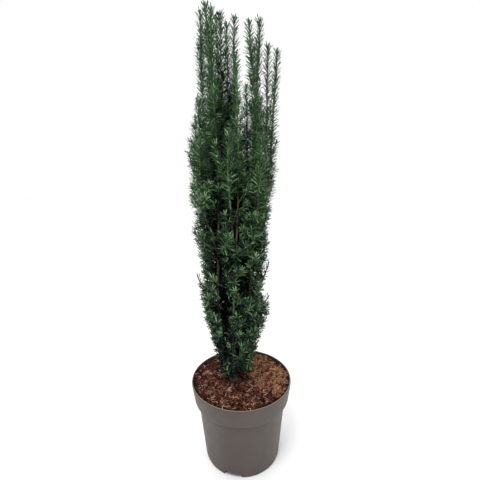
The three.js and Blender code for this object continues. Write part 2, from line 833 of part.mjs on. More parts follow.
/** The plant's meshes, standing at the stem's foot. */
function plantGroup() {
  const plant = new Plant();
  const group = new THREE.Group();
  group.position.copy(STEM_FOOT);
  group.add(meshOf("trunk", plant.trunk.solid(), FINISH.bark));
  const trunkRoom = plant.trunk.solid(CLEARANCE);
  for (const [name, bough] of plant.boughs) {
    group.add(meshOf(`bough_${name}`, cleaned(bough.solid().subtract(trunkRoom)), FINISH.bark));
  }
  for (const mass of plant.masses) {
    group.add(meshOf(mass.name, plant.massSolid(mass), FINISH.needles));
  }
  return group;
}

const yew = new THREE.Group();
yew.add(meshOf("pot", pot(), FINISH.plastic), meshOf("soil", soil(), FINISH.mulch), plantGroup());

export default yew;
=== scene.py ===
"""The looks of a potted columnar yew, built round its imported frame.

The shoots grow by the rule that the solids grow by, carried on to finer twigs within the same reach.
Lengths are in millimetres until a mesh is made, and in metres from there on.
"""

import json
import logging
import math
from collections.abc import Callable, Sequence
from dataclasses import dataclass, field
from enum import Enum

import bmesh
import bpy
import numpy as np
from mathutils import Matrix, Vector, noise

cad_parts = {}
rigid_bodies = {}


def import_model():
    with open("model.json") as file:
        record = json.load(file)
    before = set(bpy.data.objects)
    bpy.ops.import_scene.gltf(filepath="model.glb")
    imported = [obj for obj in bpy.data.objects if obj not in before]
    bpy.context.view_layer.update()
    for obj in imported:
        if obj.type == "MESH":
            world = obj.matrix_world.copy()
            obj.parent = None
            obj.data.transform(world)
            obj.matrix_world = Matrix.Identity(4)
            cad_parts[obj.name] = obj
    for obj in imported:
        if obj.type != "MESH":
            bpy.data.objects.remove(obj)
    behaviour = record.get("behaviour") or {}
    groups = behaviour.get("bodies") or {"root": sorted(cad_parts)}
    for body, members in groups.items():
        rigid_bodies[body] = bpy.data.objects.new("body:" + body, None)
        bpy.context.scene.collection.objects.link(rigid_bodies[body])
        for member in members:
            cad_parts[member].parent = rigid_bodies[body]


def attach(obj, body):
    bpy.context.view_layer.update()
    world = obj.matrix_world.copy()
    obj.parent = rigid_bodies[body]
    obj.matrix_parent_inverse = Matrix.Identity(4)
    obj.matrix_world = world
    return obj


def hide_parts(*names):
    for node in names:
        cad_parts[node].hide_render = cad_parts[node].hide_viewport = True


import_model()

LOG = logging.getLogger("yew")
MM = 0.001
GOLDEN_ANGLE = math.pi * (3 - math.sqrt(5))
UP = np.array((0.0, 0.0, 1.0))
EAST = np.array((1.0, 0.0, 0.0))
TURN = 2 * math.pi
Socket = bpy.types.NodeSocket
Array = np.ndarray
Random = np.random.Generator
Pair = tuple[float, float]
Triple = tuple[float, float, float]

# Finishes ----------------------------------------------------


def linear(code: int) -> tuple[float, float, float, float]:
    """The linear colour of a code such as 0x6f6862.

    Args:
        code: The colour as written for a screen.

    Returns:
        Red, green, blue and alpha.
    """
    parts = [(code >> shift & 255) / 255 for shift in (16, 8, 0)]
    bright = [p / 12.92 if p <= 0.04045 else ((p + 0.055) / 1.055) ** 2.4 for p in parts]
    return (*bright, 1.0)


class Shader:
    """A material's node tree, with short calls for the nodes that the finishes use."""

    # The sockets of a mix node that carry its colours.
    UNDER, OVER, BLENDED = 6, 7, 2

    def __init__(self, name: str) -> None:
        """Makes the material with an empty Principled shader.

        Args:
            name: The material's name.
        """
        self.material = bpy.data.materials.new(name)
        self.material.use_nodes = True
        self.tree = self.material.node_tree
        self.body = self.tree.nodes["Principled BSDF"]

    def add(self, kind: str, **settings: object) -> bpy.types.Node:
        """Adds a node.

        Args:
            kind: The node's type name.
            settings: Properties of the node, or values of its inputs by name, _ standing for a space.

        Returns:
            The node.
        """
        node = self.tree.nodes.new(kind)
        for key, value in settings.items():
            if hasattr(node, key):
                setattr(node, key, value)
            else:
                node.inputs[key.replace("_", " ")].default_value = value
        return node

    def link(self, source: Socket, target: Socket) -> None:
        """Joins two sockets."""
        self.tree.links.new(source, target)

    def places(self, scale: Sequence[float] = (1.0, 1.0, 1.0)) -> Socket:
        """The object's own coordinates, stretched.

        Args:
            scale: How much finer a pattern runs along each axis.

        Returns:
            The socket of the coordinates.
        """
        where = self.add("ShaderNodeTexCoord")
        stretch = self.add("ShaderNodeMapping")
        stretch.inputs["Scale"].default_value = scale
        self.link(where.outputs["Object"], stretch.inputs["Vector"])
        return stretch.outputs["Vector"]

    def height(self) -> Socket:
        """The height on the object, in metres."""
        apart = self.add("ShaderNodeSeparateXYZ")
        self.link(self.places(), apart.inputs["Vector"])
        return apart.outputs["Z"]

    def noise(self, scale: float, detail: float, stretch: Sequence[float] = (1, 1, 1)) -> Socket:
        """A noise from 0 to 1 on the object's coordinates.

        Args:
            scale: Its size, in cycles a metre.
            detail: Its octaves.
            stretch: How much finer it runs along each axis.

        Returns:
            The socket of its value.
        """
        made = self.add("ShaderNodeTexNoise", Scale=scale, Detail=detail)
        self.link(self.places(stretch), made.inputs["Vector"])
        return made.outputs["Fac"]

    def ramp(self, factor: Socket, stops: Sequence[tuple[float, int]]) -> Socket:
        """A run of colours.

        Args:
            factor: What picks the colour.
            stops: Each colour's place and code.

        Returns:
            The socket of the colour.
        """
        node = self.add("ShaderNodeValToRGB")
        colours = node.color_ramp.elements
        while len(colours) < len(stops):
            colours.new(0.5)
        for element, (place, code) in zip(colours, stops):
            element.position = place
            element.color = linear(code)
        self.link(factor, node.inputs["Fac"])
        return node.outputs["Color"]

    def maths(self, operation: str, first: Socket, second: Socket | float) -> Socket:
        """Works out one sum.

        Args:
            operation: The math node's operation.
            first: The socket of the first value.
            second: The second value, or its socket.

        Returns:
            The socket of the result.
        """
        node = self.add("ShaderNodeMath", operation=operation)
        self.link(first, node.inputs[0])
        if isinstance(second, float):
            node.inputs[1].default_value = second
        else:
            self.link(second, node.inputs[1])
        return node.outputs["Value"]

    def blend(self, under: Socket, over: int, factor: Socket) -> Socket:
        """Lays an even colour over another one.

        Args:
            under: The socket of the colour below.
            over: The code of the colour on top.
            factor: How much of the colour on top shows.

        Returns:
            The socket of the colour.
        """
        node = self.add("ShaderNodeMix", data_type="RGBA")
        self.link(factor, node.inputs["Factor"])
        self.link(under, node.inputs[self.UNDER])
        node.inputs[self.OVER].default_value = linear(over)
        return node.outputs[self.BLENDED]

    def bump(self, height: Socket, depth: float, strength: float = 1.0) -> None:
        """Raises the surface by a height.

        Args:
            height: The socket of the height.
            depth: What 1 stands for, in metres.
            strength: The share of it that is used.
        """
        node = self.add("ShaderNodeBump", Distance=depth, Strength=strength)
        self.link(height, node.inputs["Height"])
        self.link(node.outputs["Normal"], self.body.inputs["Normal"])

    def mapped(self, value: Socket, source: Pair = (0.0, 1.0), target: Pair = (0.0, 1.0)) -> Socket:
        """Maps a value from one range to another, and holds it at the ends.

        Args:
            value: The socket of the value.
            source: The range that it comes in.
            target: What the ends of that range give.

        Returns:
            The socket of the result.
        """
        ends = {"From_Min": source[0], "From_Max": source[1], "To_Min": target[0], "To_Max": target[1]}
        node = self.add("ShaderNodeMapRange", **ends)
        self.link(value, node.inputs["Value"])
        return node.outputs["Result"]


@dataclass(frozen=True)
class PlainFinish:
    """One even colour, as on a needle or a young stem."""

    name: str
    colour: int
    roughness: float = 0.5
    gloss: float = 0.5

    def material(self) -> bpy.types.Material:
        """Makes the material."""
        shader = Shader(self.name)
        shader.body.inputs["Base Color"].default_value = linear(self.colour)
        shader.body.inputs["Roughness"].default_value = self.roughness
        shader.body.inputs["Specular IOR Level"].default_value = self.gloss
        return shader.material


@dataclass(frozen=True)
class MouldedPlastic:
    """Matte moulded plastic: a fine grain, faint flow marks, a pale upper edge that is part wear and part
    painted highlight, and painted shade under the collar.

    Heights and depths are in metres, and the noises' scales in cycles a metre.
    """

    name: str
    dark: int
    pale: int
    # The pale upper edge, part wear and part painted highlight: its colour, the height it starts at and its
    # rise.
    worn_and_highlit: int
    worn_and_highlit_from: float
    worn_and_highlit_rise: float = 0.0012
    # Painted shade under the collar: its colour, the heights it rises over, how far past the top it reaches,
    # its curve and its strength.
    collar_shade: int = 0x1C1816
    collar_shade_from: float = 0.148
    collar_shade_top: float = 0.171
    collar_shade_past: float = 0.001
    collar_shade_curve: float = 2.0
    collar_shade_strength: float = 0.5
    flow: float = 9.0
    flow_stretch: Triple = (1.0, 1.0, 0.45)
    cloud: float = 60.0
    roughness: Pair = (0.44, 0.62)
    grain: float = 1400.0
    grain_depth: float = 0.00012
    grain_strength: float = 0.6

    def colour(self, shader: Shader) -> Socket:
        """The plastic's colour: flow marks, pale on the upper edge as wear and painted highlight, and
        painted shade darkening up to the collar's underside.

        Args:
            shader: The material's nodes.

        Returns:
            The socket of the colour.
        """
        marks = shader.noise(self.flow, 5.0, self.flow_stretch)
        tone = shader.ramp(marks, [(0.32, self.dark), (0.68, self.pale)])
        height = shader.height()
        # The pale upper edge: part wear, part painted highlight.
        edge = shader.mapped(height, (self.worn_and_highlit_from, self.worn_and_highlit_from + self.worn_and_highlit_rise))
        # Painted shade: darker up to the underside of the collar, where its ledge shades the body.
        below = shader.maths("LESS_THAN", height, self.collar_shade_top + self.collar_shade_past)
        rise = shader.maths("POWER", shader.mapped(height, (self.collar_shade_from, self.collar_shade_top)), self.collar_shade_curve)
        collar_shade_mask = shader.maths("MULTIPLY", shader.maths("MULTIPLY", rise, below), self.collar_shade_strength)
        return shader.blend(shader.blend(tone, self.worn_and_highlit, edge), self.collar_shade, collar_shade_mask)

    def material(self) -> bpy.types.Material:
        """Makes the material."""
        shader = Shader(self.name)
        shader.link(self.colour(shader), shader.body.inputs["Base Color"])
        cloud = shader.noise(self.cloud, 3.0)
        shader.link(shader.mapped(cloud, target=self.roughness), shader.body.inputs["Roughness"])
        shader.bump(shader.noise(self.grain, 2.0), self.grain_depth, self.grain_strength)
        return shader.material


@dataclass(frozen=True)
class Mould:
    """Damp fibrous mulch in three tones: the grain in cycles a metre, the depth in metres."""

    name: str
    dark: int
    mid: int
    pale: int
    grain: float = 900.0
    stretch: Triple = (1.0, 1.0, 1.0)
    stops: Triple = (0.3, 0.52, 0.75)
    roughness: Pair = (0.95, 0.7)
    gloss: float = 0.15
    depth: float = 0.0006

    def material(self) -> bpy.types.Material:
        """Makes the material."""
        shader = Shader(self.name)
        crumbs = shader.noise(self.grain, 5.0, self.stretch)
        tone = shader.ramp(crumbs, tuple(zip(self.stops, (self.dark, self.mid, self.pale))))
        shader.link(tone, shader.body.inputs["Base Color"])
        shader.link(shader.mapped(crumbs, target=self.roughness), shader.body.inputs["Roughness"])
        shader.body.inputs["Specular IOR Level"].default_value = self.gloss
        shader.bump(crumbs, self.depth)
        return shader.material


@dataclass(frozen=True)
class Bark(Mould):
    """Thin flaky bark in long strips."""

    grain: float = 420.0
    stretch: Triple = (1.0, 1.0, 0.16)
    stops: Triple = (0.3, 0.5, 0.72)
    roughness: Pair = (0.85, 0.85)
    gloss: float = 0.2
    depth: float = 0.0007


class Palette(Enum):
    """Every finish of the plant and its pot."""

    POT = MouldedPlastic("pot_taupe", 0x443A36, 0x4F4540, 0x857969, 0.2279)
    # The inside wall: the same plastic made darker, as painted shade inside the pot.
    POT_INSIDE_SHADED = MouldedPlastic("pot_inside_painted_shade", 0x3A3430, 0x4A433D, 0x5A534C, 0.5)
    MULCH_BED = Mould("mulch_bed", 0x0A0403, 0x180A07, 0x2A130D)
    CHIP_DARK = Mould("chip_dark", 0x0E0504, 0x1B0A08, 0x2C1511)
    CHIP_RED = Mould("chip_red", 0x270E0C, 0x441C17, 0x642F26)
    CHIP_BROWN = Mould("chip_brown", 0x341A15, 0x5A2F26, 0x804E3D)
    CHIP_TAN = Mould("chip_tan", 0x553628, 0x845944, 0xAE8266)
    SHRED_RED = Mould("shred_red", 0x50281F, 0x804D3E, 0xAA7661)
    SHRED_TAN = Mould("shred_tan", 0x90674F, 0xC29A7D, 0xE8C8AE)
    SHRED_STRAW = Mould("shred_straw", 0xA27848, 0xD4A770, 0xF0D09C)
    TRUNK = Bark("trunk_bark", 0x23201B, 0x5C564B, 0x948A7A)
    # The bark made darker for the boughs in the crown: painted shade.
    BARK_IN_SHADE = Bark("bough_bark", 0x12100E, 0x28241F, 0x48433B)
    STEM_OLD = PlainFinish("stem_brown", 0x746C60, 0.8, 0.2)
    STEM_RED = PlainFinish("stem_red", 0x5C4D40, 0.75, 0.2)
    STEM_MID = PlainFinish("stem_olive", 0x46522F, 0.65, 0.3)
    STEM_YOUNG = PlainFinish("stem_green", 0x83B068, 0.5)
    # The needle tones from NEEDLE_DEEP to the highlight are one green in lit and shaded copies, dealt out as
    # painted light and shade; NEEDLE_BACK is a needle's own underside.
    NEEDLE_DEEP = PlainFinish("needle_deep", 0x050C0E, 0.6, 0.1)
    NEEDLE_DARK = PlainFinish("needle_dark", 0x122419, 0.5, 0.25)
    NEEDLE_BLUE = PlainFinish("needle_blue", 0x2C4339, 0.34)
    NEEDLE_MID = PlainFinish("needle_mid", 0x42683F, 0.36)
    NEEDLE_LIT = PlainFinish("needle_lit", 0x729F60, 0.36)
    NEEDLE_HIGHLIGHT = PlainFinish("needle_painted_highlight", 0x96C088, 0.34)
    NEEDLE_BACK = PlainFinish("needle_back", 0x3F5C40, 0.5, 0.3)
    FLOOR = PlainFinish("floor_pale", 0xFFFFFF, 0.9)

    def material(self) -> bpy.types.Material:
        """The finish's material, made once."""
        return bpy.data.materials.get(self.value.name) or self.value.material()


# Meshes ------------------------------------------------------


def dress(piece: bpy.types.Object, slot: str, *nodes: str) -> None:
    """Puts a piece on the plant's body, hides the solids that it replaces, and logs its faces.

    Args:
        piece: The piece, in place.
        slot: Not used.
        nodes: The solids that it replaces.
    """
    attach(piece, "root")
    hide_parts(*nodes)
    LOG.info("%s: %d faces for %d solids", piece.name, len(piece.data.polygons), len(nodes))


def piece_of(name: str, mesh: bpy.types.Mesh, finishes: Sequence[Palette]) -> bpy.types.Object:
    """An object for a mesh.

    Args:
        name: The piece's name.
        mesh: Its mesh.
        finishes: Its materials, in the order of the faces' material numbers.

    Returns:
        The object, linked to the scene.
    """
    mesh.name = name
    for finish in finishes:
        mesh.materials.append(finish.material())
    piece = bpy.data.objects.new(name, mesh)
    bpy.context.scene.collection.objects.link(piece)
    return piece


def mesh_of(bm: bmesh.types.BMesh, smooth_under: float = 0.7) -> bpy.types.Mesh:
    """Turns a bmesh in millimetres into a mesh in metres, and frees it.

    Args:
        bm: The bmesh.
        smooth_under: Edges that bend less than this, in radians, are shaded smooth.

    Returns:
        The mesh.
    """
    bmesh.ops.scale(bm, vec=(MM, MM, MM), verts=bm.verts)
    bmesh.ops.recalc_face_normals(bm, faces=bm.faces)
    for face in bm.faces:
        face.smooth = True
    for edge in bm.edges:
        edge.smooth = len(edge.link_faces) == 2 and edge.calc_face_angle(math.pi) < smooth_under
    mesh = bpy.data.meshes.new("made")
    bm.to_mesh(mesh)
    bm.free()
    return mesh


@dataclass
class Heap:
    """Many small closed things of a few kinds, gathered as arrays for one joined mesh."""

    places: list[Array] = field(default_factory=list)
    corners: list[Array] = field(default_factory=list)
    tones: list[Array] = field(default_factory=list)
    count: int = 0

    def add(self, places: Array, pattern: Array, tones: Array) -> None:
        """Adds a batch of things that share one pattern of triangles.

        Args:
            places: Corner places, (things, corners, 3), in millimetres.
            pattern: The triangles of one thing, (triangles, 3).
            tones: The material number of every triangle, (things, triangles).
        """
        things, size = places.shape[:2]
        first = self.count + np.arange(things) * size
        self.places.append(places.reshape(-1, 3))
        self.corners.append((pattern[None] + first[:, None, None]).reshape(-1, 3))
        self.tones.append(tones.reshape(-1))
        self.count += things * size

    def mesh(self, smooth: bool = False) -> bpy.types.Mesh:
        """The joined mesh, in metres.

        Args:
            smooth: Whether its faces are shaded smooth.

        Returns:
            The mesh.
        """
        places = np.concatenate(self.places) * MM
        corners = np.concatenate(self.corners)
        tones = np.concatenate(self.tones)
        mesh = bpy.data.meshes.new("heap")
        mesh.vertices.add(len(places))
        mesh.vertices.foreach_set("co", places.astype(np.float32).ravel())
        mesh.loops.add(corners.size)
        mesh.loops.foreach_set("vertex_index", corners.astype(np.int32).ravel())
        mesh.polygons.add(len(corners))
        mesh.polygons.foreach_set("loop_start", np.arange(0, corners.size, 3, dtype=np.int32))
        mesh.polygons.foreach_set("material_index", tones.astype(np.int32))
        mesh.polygons.foreach_set("use_smooth", np.full(len(corners), smooth))
        mesh.update(calc_edges=True)
        return mesh


def tube(rings: int, sides: int) -> list[tuple[int, int, int]]:
    """The triangles between rings of corners, from the first ring to the last.

    Args:
        rings: How many rings.
        sides: Corners in each ring.

    Returns:
        The triangles, two for each side.
    """
    faces = []
    for ring in range(rings - 1):
        for k in range(sides):
            a, b = ring * sides + k, ring * sides + (k + 1) % sides
            faces += [(a, b, b + sides), (a, b + sides, a + sides)]
    return faces


# Numbers and curves ------------------------------------------


HASH_START, HASH_PRIME, HASH_SPREAD, HASH_MASK = 2166136261, 16777619, 2246822519, 0xFFFFFFFF


def chance(*keys: int) -> float:
    """A repeatable number from 0 to 1 for the given whole numbers."""
    h = HASH_START
    for key in keys:
        h = ((h ^ key) * HASH_PRIME) & HASH_MASK
        h ^= h >> 15
        h = (h * HASH_SPREAD) & HASH_MASK
        h ^= h >> 13
    return h / (HASH_MASK + 1)


def jitter(size: float, *keys: int) -> float:
    """A repeatable number from -size to size."""
    return size * (2 * chance(*keys) - 1)


def mix(low: float, high: float, share: float | Array) -> float | Array:
    """The value a share of the way from low to high."""
    return low + (high - low) * share


def rising(values: Array, start: float, rise: float) -> Array:
    """How far values have gone from start over a rise, from 0 to 1. A rise below 0 goes down."""
    return np.clip((values - start) / rise, 0, 1)


def unit(vectors: Array) -> Array:
    """Vectors at length 1."""
    return vectors / np.maximum(np.linalg.norm(vectors, axis=-1, keepdims=True), 1e-12)


def across(vectors: Array, tangents: Array) -> Array:
    """What is left of vectors at right angles to tangents, at length 1."""
    return unit(vectors - (vectors * tangents).sum(axis=-1, keepdims=True) * tangents)


def turned(vector: Array, axis: Array, angle: float) -> Array:
    """A vector turned about an axis, in radians."""
    return (
        vector * math.cos(angle)
        + np.cross(axis, vector) * math.sin(angle)
        + axis * (axis @ vector) * (1 - math.cos(angle))
    )


def to_segments(points: Array, starts: Array, ends: Array) -> Array:
    """Distances from points to segments.

    Args:
        points: (n, 3).
        starts: (m, 3).
        ends: (m, 3).

    Returns:
        (n, m) distances.
    """
    run = ends - starts
    away = points[:, None] - starts[None]
    share = np.clip((away * run).sum(-1) / np.maximum((run * run).sum(-1), 1e-12), 0, 1)
    return np.linalg.norm(away - share[..., None] * run, axis=-1)


class Curve:
    """A centreline that is read by shares of its length."""

    DIVISIONS = 200
    DELTA = 1e-4

    def settle(self) -> None:
        """Measures the curve, once its knots are known."""
        self.steps = np.linspace(0, 1, self.DIVISIONS + 1)
        lengths = np.linalg.norm(np.diff(self.at(self.steps), axis=0), axis=1)
        self.travelled = np.concatenate(([0.0], np.cumsum(lengths)))
        self.length = float(self.travelled[-1])

    def at(self, t: Array) -> Array:
        """Points by the curve's own parameter."""
        raise NotImplementedError

    def parameter(self, shares: Sequence[float]) -> Array:
        """The curve's own parameter at shares of its length."""
        return np.interp(np.asarray(shares, float) * self.length, self.travelled, self.steps)

    def points(self, shares: Sequence[float]) -> Array:
        """Points at shares of its length."""
        return self.at(self.parameter(shares))

    def tangents(self, shares: Sequence[float]) -> Array:
        """Directions at shares of its length."""
        t = self.parameter(shares)
        return unit(self.at(np.minimum(t + self.DELTA, 1)) - self.at(np.maximum(t - self.DELTA, 0)))

    def evenly(self, steps: int) -> Array:
        """Its points at even steps."""
        return self.points(np.arange(steps + 1) / steps)


class Bezier(Curve):
    """A Bezier curve of any degree."""

    def __init__(self, *knots: Array) -> None:
        """Takes its knots in order."""
        self.knots = np.array(knots, float)
        self.settle()

    def at(self, t: Array) -> Array:
        """Points by the curve's own parameter."""
        rest = np.repeat(self.knots[None], len(t), axis=0)
        share = t[:, None, None]
        while rest.shape[1] > 1:
            rest = rest[:, :-1] * (1 - share) + rest[:, 1:] * share
        return rest[:, 0]


class LeaderCurve(Curve):
    """A centripetal Catmull-Rom curve through three points: foot, belly and tip."""

    def __init__(self, foot: Array, belly: Sequence[float], tip: Sequence[float]) -> None:
        """Takes the three points."""
        a, b, c = np.array(foot, float), np.array(belly, float), np.array(tip, float)
        self.spans = [self.span(2 * a - b, a, b, c), self.span(a, b, c, 2 * c - b)]
        self.settle()

    @staticmethod
    def span(p0: Array, p1: Array, p2: Array, p3: Array) -> Array:
        """The cubic's factors for the stretch from p1 to p2."""
        d0, d1, d2 = (math.sqrt(np.linalg.norm(q - p)) for p, q in ((p0, p1), (p1, p2), (p2, p3)))
        t1 = ((p1 - p0) / d0 - (p2 - p0) / (d0 + d1) + (p2 - p1) / d1) * d1
        t2 = ((p2 - p1) / d1 - (p3 - p1) / (d1 + d2) + (p3 - p2) / d2) * d1
        return np.array((p1, t1, -3 * p1 + 3 * p2 - 2 * t1 - t2, 2 * p1 - 2 * p2 + t1 + t2))

    def at(self, t: Array) -> Array:
        """Points by the curve's own parameter."""
        index = np.clip((2 * t).astype(int), 0, 1)
        share = (2 * t - index)[:, None]
        c = np.array(self.spans)[index]
        return c[:, 0] + share * (c[:, 1] + share * (c[:, 2] + share * c[:, 3]))


@dataclass
class Frames:
    """Points along a curve, with the directions that lie round each."""

    points: Array
    tangents: Array
    normals: Array
    sides: Array

    @classmethod
    def along(cls, curve: Curve, shares: Array, first: Array) -> "Frames":
        """Frames that turn as little as they can.

        Args:
            curve: The centreline.
            shares: Where they stand.
            first: The normal that they start from.

        Returns:
            The frames.
        """
        tangents = curve.tangents(shares)
        normals = np.empty_like(tangents)
        normal = first
        for i, tangent in enumerate(tangents):
            normal = across(normal, tangent)
            normals[i] = normal
        return cls(curve.points(shares), tangents, normals, np.cross(tangents, normals))

    def out(self, turns: Array) -> Array:
        """Directions straight out of the curve, turned about it from the normals.

        Args:
            turns: Angles in radians, (points, directions), or (directions,) for every point alike.

        Returns:
            (points, directions, 3).
        """
        cos, sin = np.cos(turns)[..., None], np.sin(turns)[..., None]
        return self.normals[:, None] * cos + self.sides[:, None] * sin

    def at(self, curve: Curve, shares: Array) -> "Frames":
        """Frames in between, eased from these.

        Args:
            curve: The centreline.
            shares: Where they stand.

        Returns:
            The frames.
        """
        rows = np.linspace(0, 1, len(self.points))
        tangents = curve.tangents(shares)
        eased = np.stack([np.interp(shares, rows, self.normals[:, k]) for k in range(3)], axis=1)
        normals = across(eased, tangents)
        return Frames(curve.points(shares), tangents, normals, np.cross(tangents, normals))


# The plant's plan, as its solids have it ---------------------

STEM_FOOT = np.array((-22.0, 0.0, 219.3))
SPIRE_FOOT = 262.0


@dataclass(frozen=True)
class Leader:
    """An upright shoot: where it stands widest, and its tip."""

    belly: Triple
    tip: Triple


@dataclass(frozen=True)
class Spire:
    """A bough's fork on the trunk, where it ends in plan, and its leaders."""

    name: str
    fork: float | None
    foot: Pair | None
    leaders: tuple[Leader, ...]


SPIRES = (
    Spire("centre", None, None, (
        Leader((12, 42, 600), (22, 45, 944)), Leader((-7, -5, 600), (-10, -5, 930)),
    )),
    Spire("left", 12, (-50, 8), (
        Leader((-60, 22, 600), (-58, 25, 946)), Leader((-40, 22, 600), (-32, 20, 953)),
        Leader((-82, 8, 500), (-78, 15, 711)),
    )),
    Spire("front_left", 84, (-34, -40), (
        Leader((-24, -34, 600), (-41, -30, 938)), Leader((-62, -40, 500), (-62, -38, 738)),
    )),
    Spire("front", 30, (8, -56), (
        Leader((26, -60, 600), (23, -60, 825)), Leader((2, -78, 600), (7, -78, 662)),
    )),
    Spire("front_right", 102, (48, -40), (
        Leader((72, -36, 600), (55, -35, 898)), Leader((78, -66, 600), (78, -62, 660)),
    )),
    Spire("right", 48, (62, 2), (
        Leader((104, -2, 600), (121, 0, 851)),
    )),
    Spire("back_right", 120, (48, 44), (
        Leader((66, 20, 600), (82, 15, 924)), Leader((94, 46, 600), (104, 45, 880)),
    )),
    Spire("back", 66, (6, 60), (
        Leader((2, 70, 600), (2, 72, 942)), Leader((48, 80, 600), (50, 86, 800)),
    )),
    Spire("back_left", 138, (-34, 44), (
        Leader((-18, 54, 600), (-23, 55, 951)), Leader((-44, 76, 600), (-36, 84, 760)),
    )),
)


@dataclass(frozen=True)
class TrunkPlan:
    """The trunk's sizes."""

    top: Triple = (15, 10, 440)
    sway: Pair = (22, 4)
    foot_radius: float = 8
    flare: float = 4.5
    flare_height: float = 16
    tip_radius: float = 2.6
    steps: int = 12


@dataclass(frozen=True)
class BoughPlan:
    """The sizes that every bough shares."""

    foot_radius: float = 4.6
    tip_radius: float = 2.3
    swing: float = 0.55
    swing_rise: float = 0.2
    upright: float = 0.4
    steps: int = 7


@dataclass(frozen=True)
class SprayPlan:
    """The side sprays on the trunk."""

    count: int = 22
    lowest: float = 8
    highest: float = 340
    rise: float = 96
    bend_reach: float = 0.85
    bend_rise: float = 0.36
    edge_rise: float = 0.7
    root_radius: float = 2.4
    bare: float = 24
    inset: float = 15
    least_reach: float = 20
    room: float = 9
    tries: int = 24
    swing: float = 0.11
    seed: int = 300
    root_samples: int = 3
    room_samples: int = 12


@dataclass(frozen=True)
class TwigRule:
    """Side twigs: where they start and stop on their parent, how far apart, how long and which way."""

    first: float
    apart: float
    until: float
    length: float
    spread: float
    lift: float
    around: float


@dataclass(frozen=True)
class FineRule(TwigRule):
    """Twigs that stand all round their parent and are cut down to what has room."""

    shorter: float = 0.3
    foot_room: float = 2.6
    tip_room: float = 7.5
    trims: tuple[float, ...] = (1.0, 0.75, 0.55)
    least: float = 14
    shares: tuple[float, ...] = (0.35, 0.7, 1.0)
    radius: float = 1.1
    bare: float = 3
    inset: float = 9


# Heights above the soil, and the reach to the left and to the right there.
REACH = np.array(
    (
        (0, 34, 38), (62, 57, 62), (122, 62, 78), (205, 79, 104), (277, 88, 96),
        (350, 80, 102), (430, 104, 106), (590, 100, 127), (960, 98, 135),
    ),
    float,
)
CROWN_LOWEST, CROWN_RAGGED = 6.0, 5.0
FORK_OFF = 0.16
TWIG_KEY = 50
CLEARANCE = 0.3
ON_LEADER = TwigRule(26, 70, 0.45, 60, 0.55, 0.9, 1.25)
ON_SPRAY = TwigRule(40, 17, 0.85, 62, 0.85, 0.8, 1.45)
UNEVEN_AROUND, UNEVEN_SPREAD, UNEVEN_LENGTH = 0.2, 0.1, 0.15
FINE_ON_LIMB = (FineRule(45, 8, 1.0, 50, 1.05, 0.8, 0),)
BEHIND_AT, BEHIND_FROM = 0.4, 5.0
FULL_ABOVE, FULL_PAIRS = 890, ((-62, -30), (50, 85))
FINE_ON_FULL = FineRule(500, 12, 0.9, 44, 0.28, 1.2, 0, 0.4, 2.2, 4.5, (1.0, 0.75, 0.5), 13)
FINE_BEHIND = FineRule(40, 8, 0.58, 58, 1.15, 0.7, 0, 0.3, 2.2, 5.5)
FINE_ON_TRUNK = (
    FineRule(7, 4, 0.95, 44, 1.25, 0.4, 0, 0.3, 2.6, 7.0),
    FineRule(60, 5, 0.95, 76, 1.0, 0.6, 0, 0.3, 2.2, 5.5),
)


@dataclass(frozen=True)
class Room:
    """The room that a twig keeps, in millimetres.

    It is the least distance to another stem at its foot and at its tip, and to a limb. The shares are
    where along it that is tested, and the inset is how far inside the crown's reach it stays.
    """

    foot: float
    tip: float
    limb: float
    shares: tuple[float, ...]
    inset: float
    off_hollows: bool = True


@dataclass(frozen=True)
class Hollow:
    """A dark cleft or a gap that fine twigs and needles keep out of, and that paints shade on needles whose
    feet lie in it: an ellipsoid.
    """

    place: Triple
    size: Triple
    bare: bool = False

    def holds(self, points: Array) -> Array:
        """Which points are inside it."""
        return (((points - self.place) / self.size) ** 2).sum(axis=1) < 1


HOLLOWS = (
    Hollow((-27, -60, 400), (8, 36, 45)),  # the long cleft low in front
    Hollow((-21, -60, 320), (9, 38, 50)),
    Hollow((-15, -60, 235), (10, 38, 65)),
    Hollow((-18, -52, 112), (6, 38, 34), True),  # the bare stems at the foot
    Hollow((14, -52, 122), (5, 38, 20), True),
    Hollow((21, -66, 508), (12, 36, 14), True),  # round the bare stem of the front leader
    Hollow((17, -66, 432), (8, 36, 16), True),
    Hollow((-28, -66, 448), (10, 36, 20)),
    Hollow((84, 0, 262), (16, 90, 18)),  # between the lobes on the right
    Hollow((66, 0, 318), (4, 90, 16)),
    Hollow((42, -60, 660), (7, 40, 40)),  # between the front leaders
    Hollow((-12, -60, 650), (8, 40, 46)),
    Hollow((31, -20, 850), (5, 110, 95)),  # open sky between the leaders
    Hollow((87, 0, 845), (6, 110, 75)),
    Hollow((103, 0, 800), (5, 110, 60)),
    Hollow((-88, 0, 800), (16, 60, 60)),
)


def reach_at(points: Array) -> Array:
    """How far foliage reaches from the stem's axis, at the height and towards the side of points.

    Args:
        points: (n, 3).

    Returns:
        (n,) distances.
    """
    heights = REACH[:, 0]
    high = np.clip(np.searchsorted(heights, points[:, 2], side="right"), 1, len(heights) - 1)
    share = np.clip((points[:, 2] - heights[high - 1]) / (heights[high] - heights[high - 1]), 0, 1)
    share = share * share * (3 - 2 * share)
    left, right = (mix(REACH[high - 1, k], REACH[high, k], share) for k in (1, 2))
    out = np.maximum(np.hypot(points[:, 0], points[:, 1]), 1e-6)
    return mix(left, right, (1 + points[:, 0] / out) / 2)


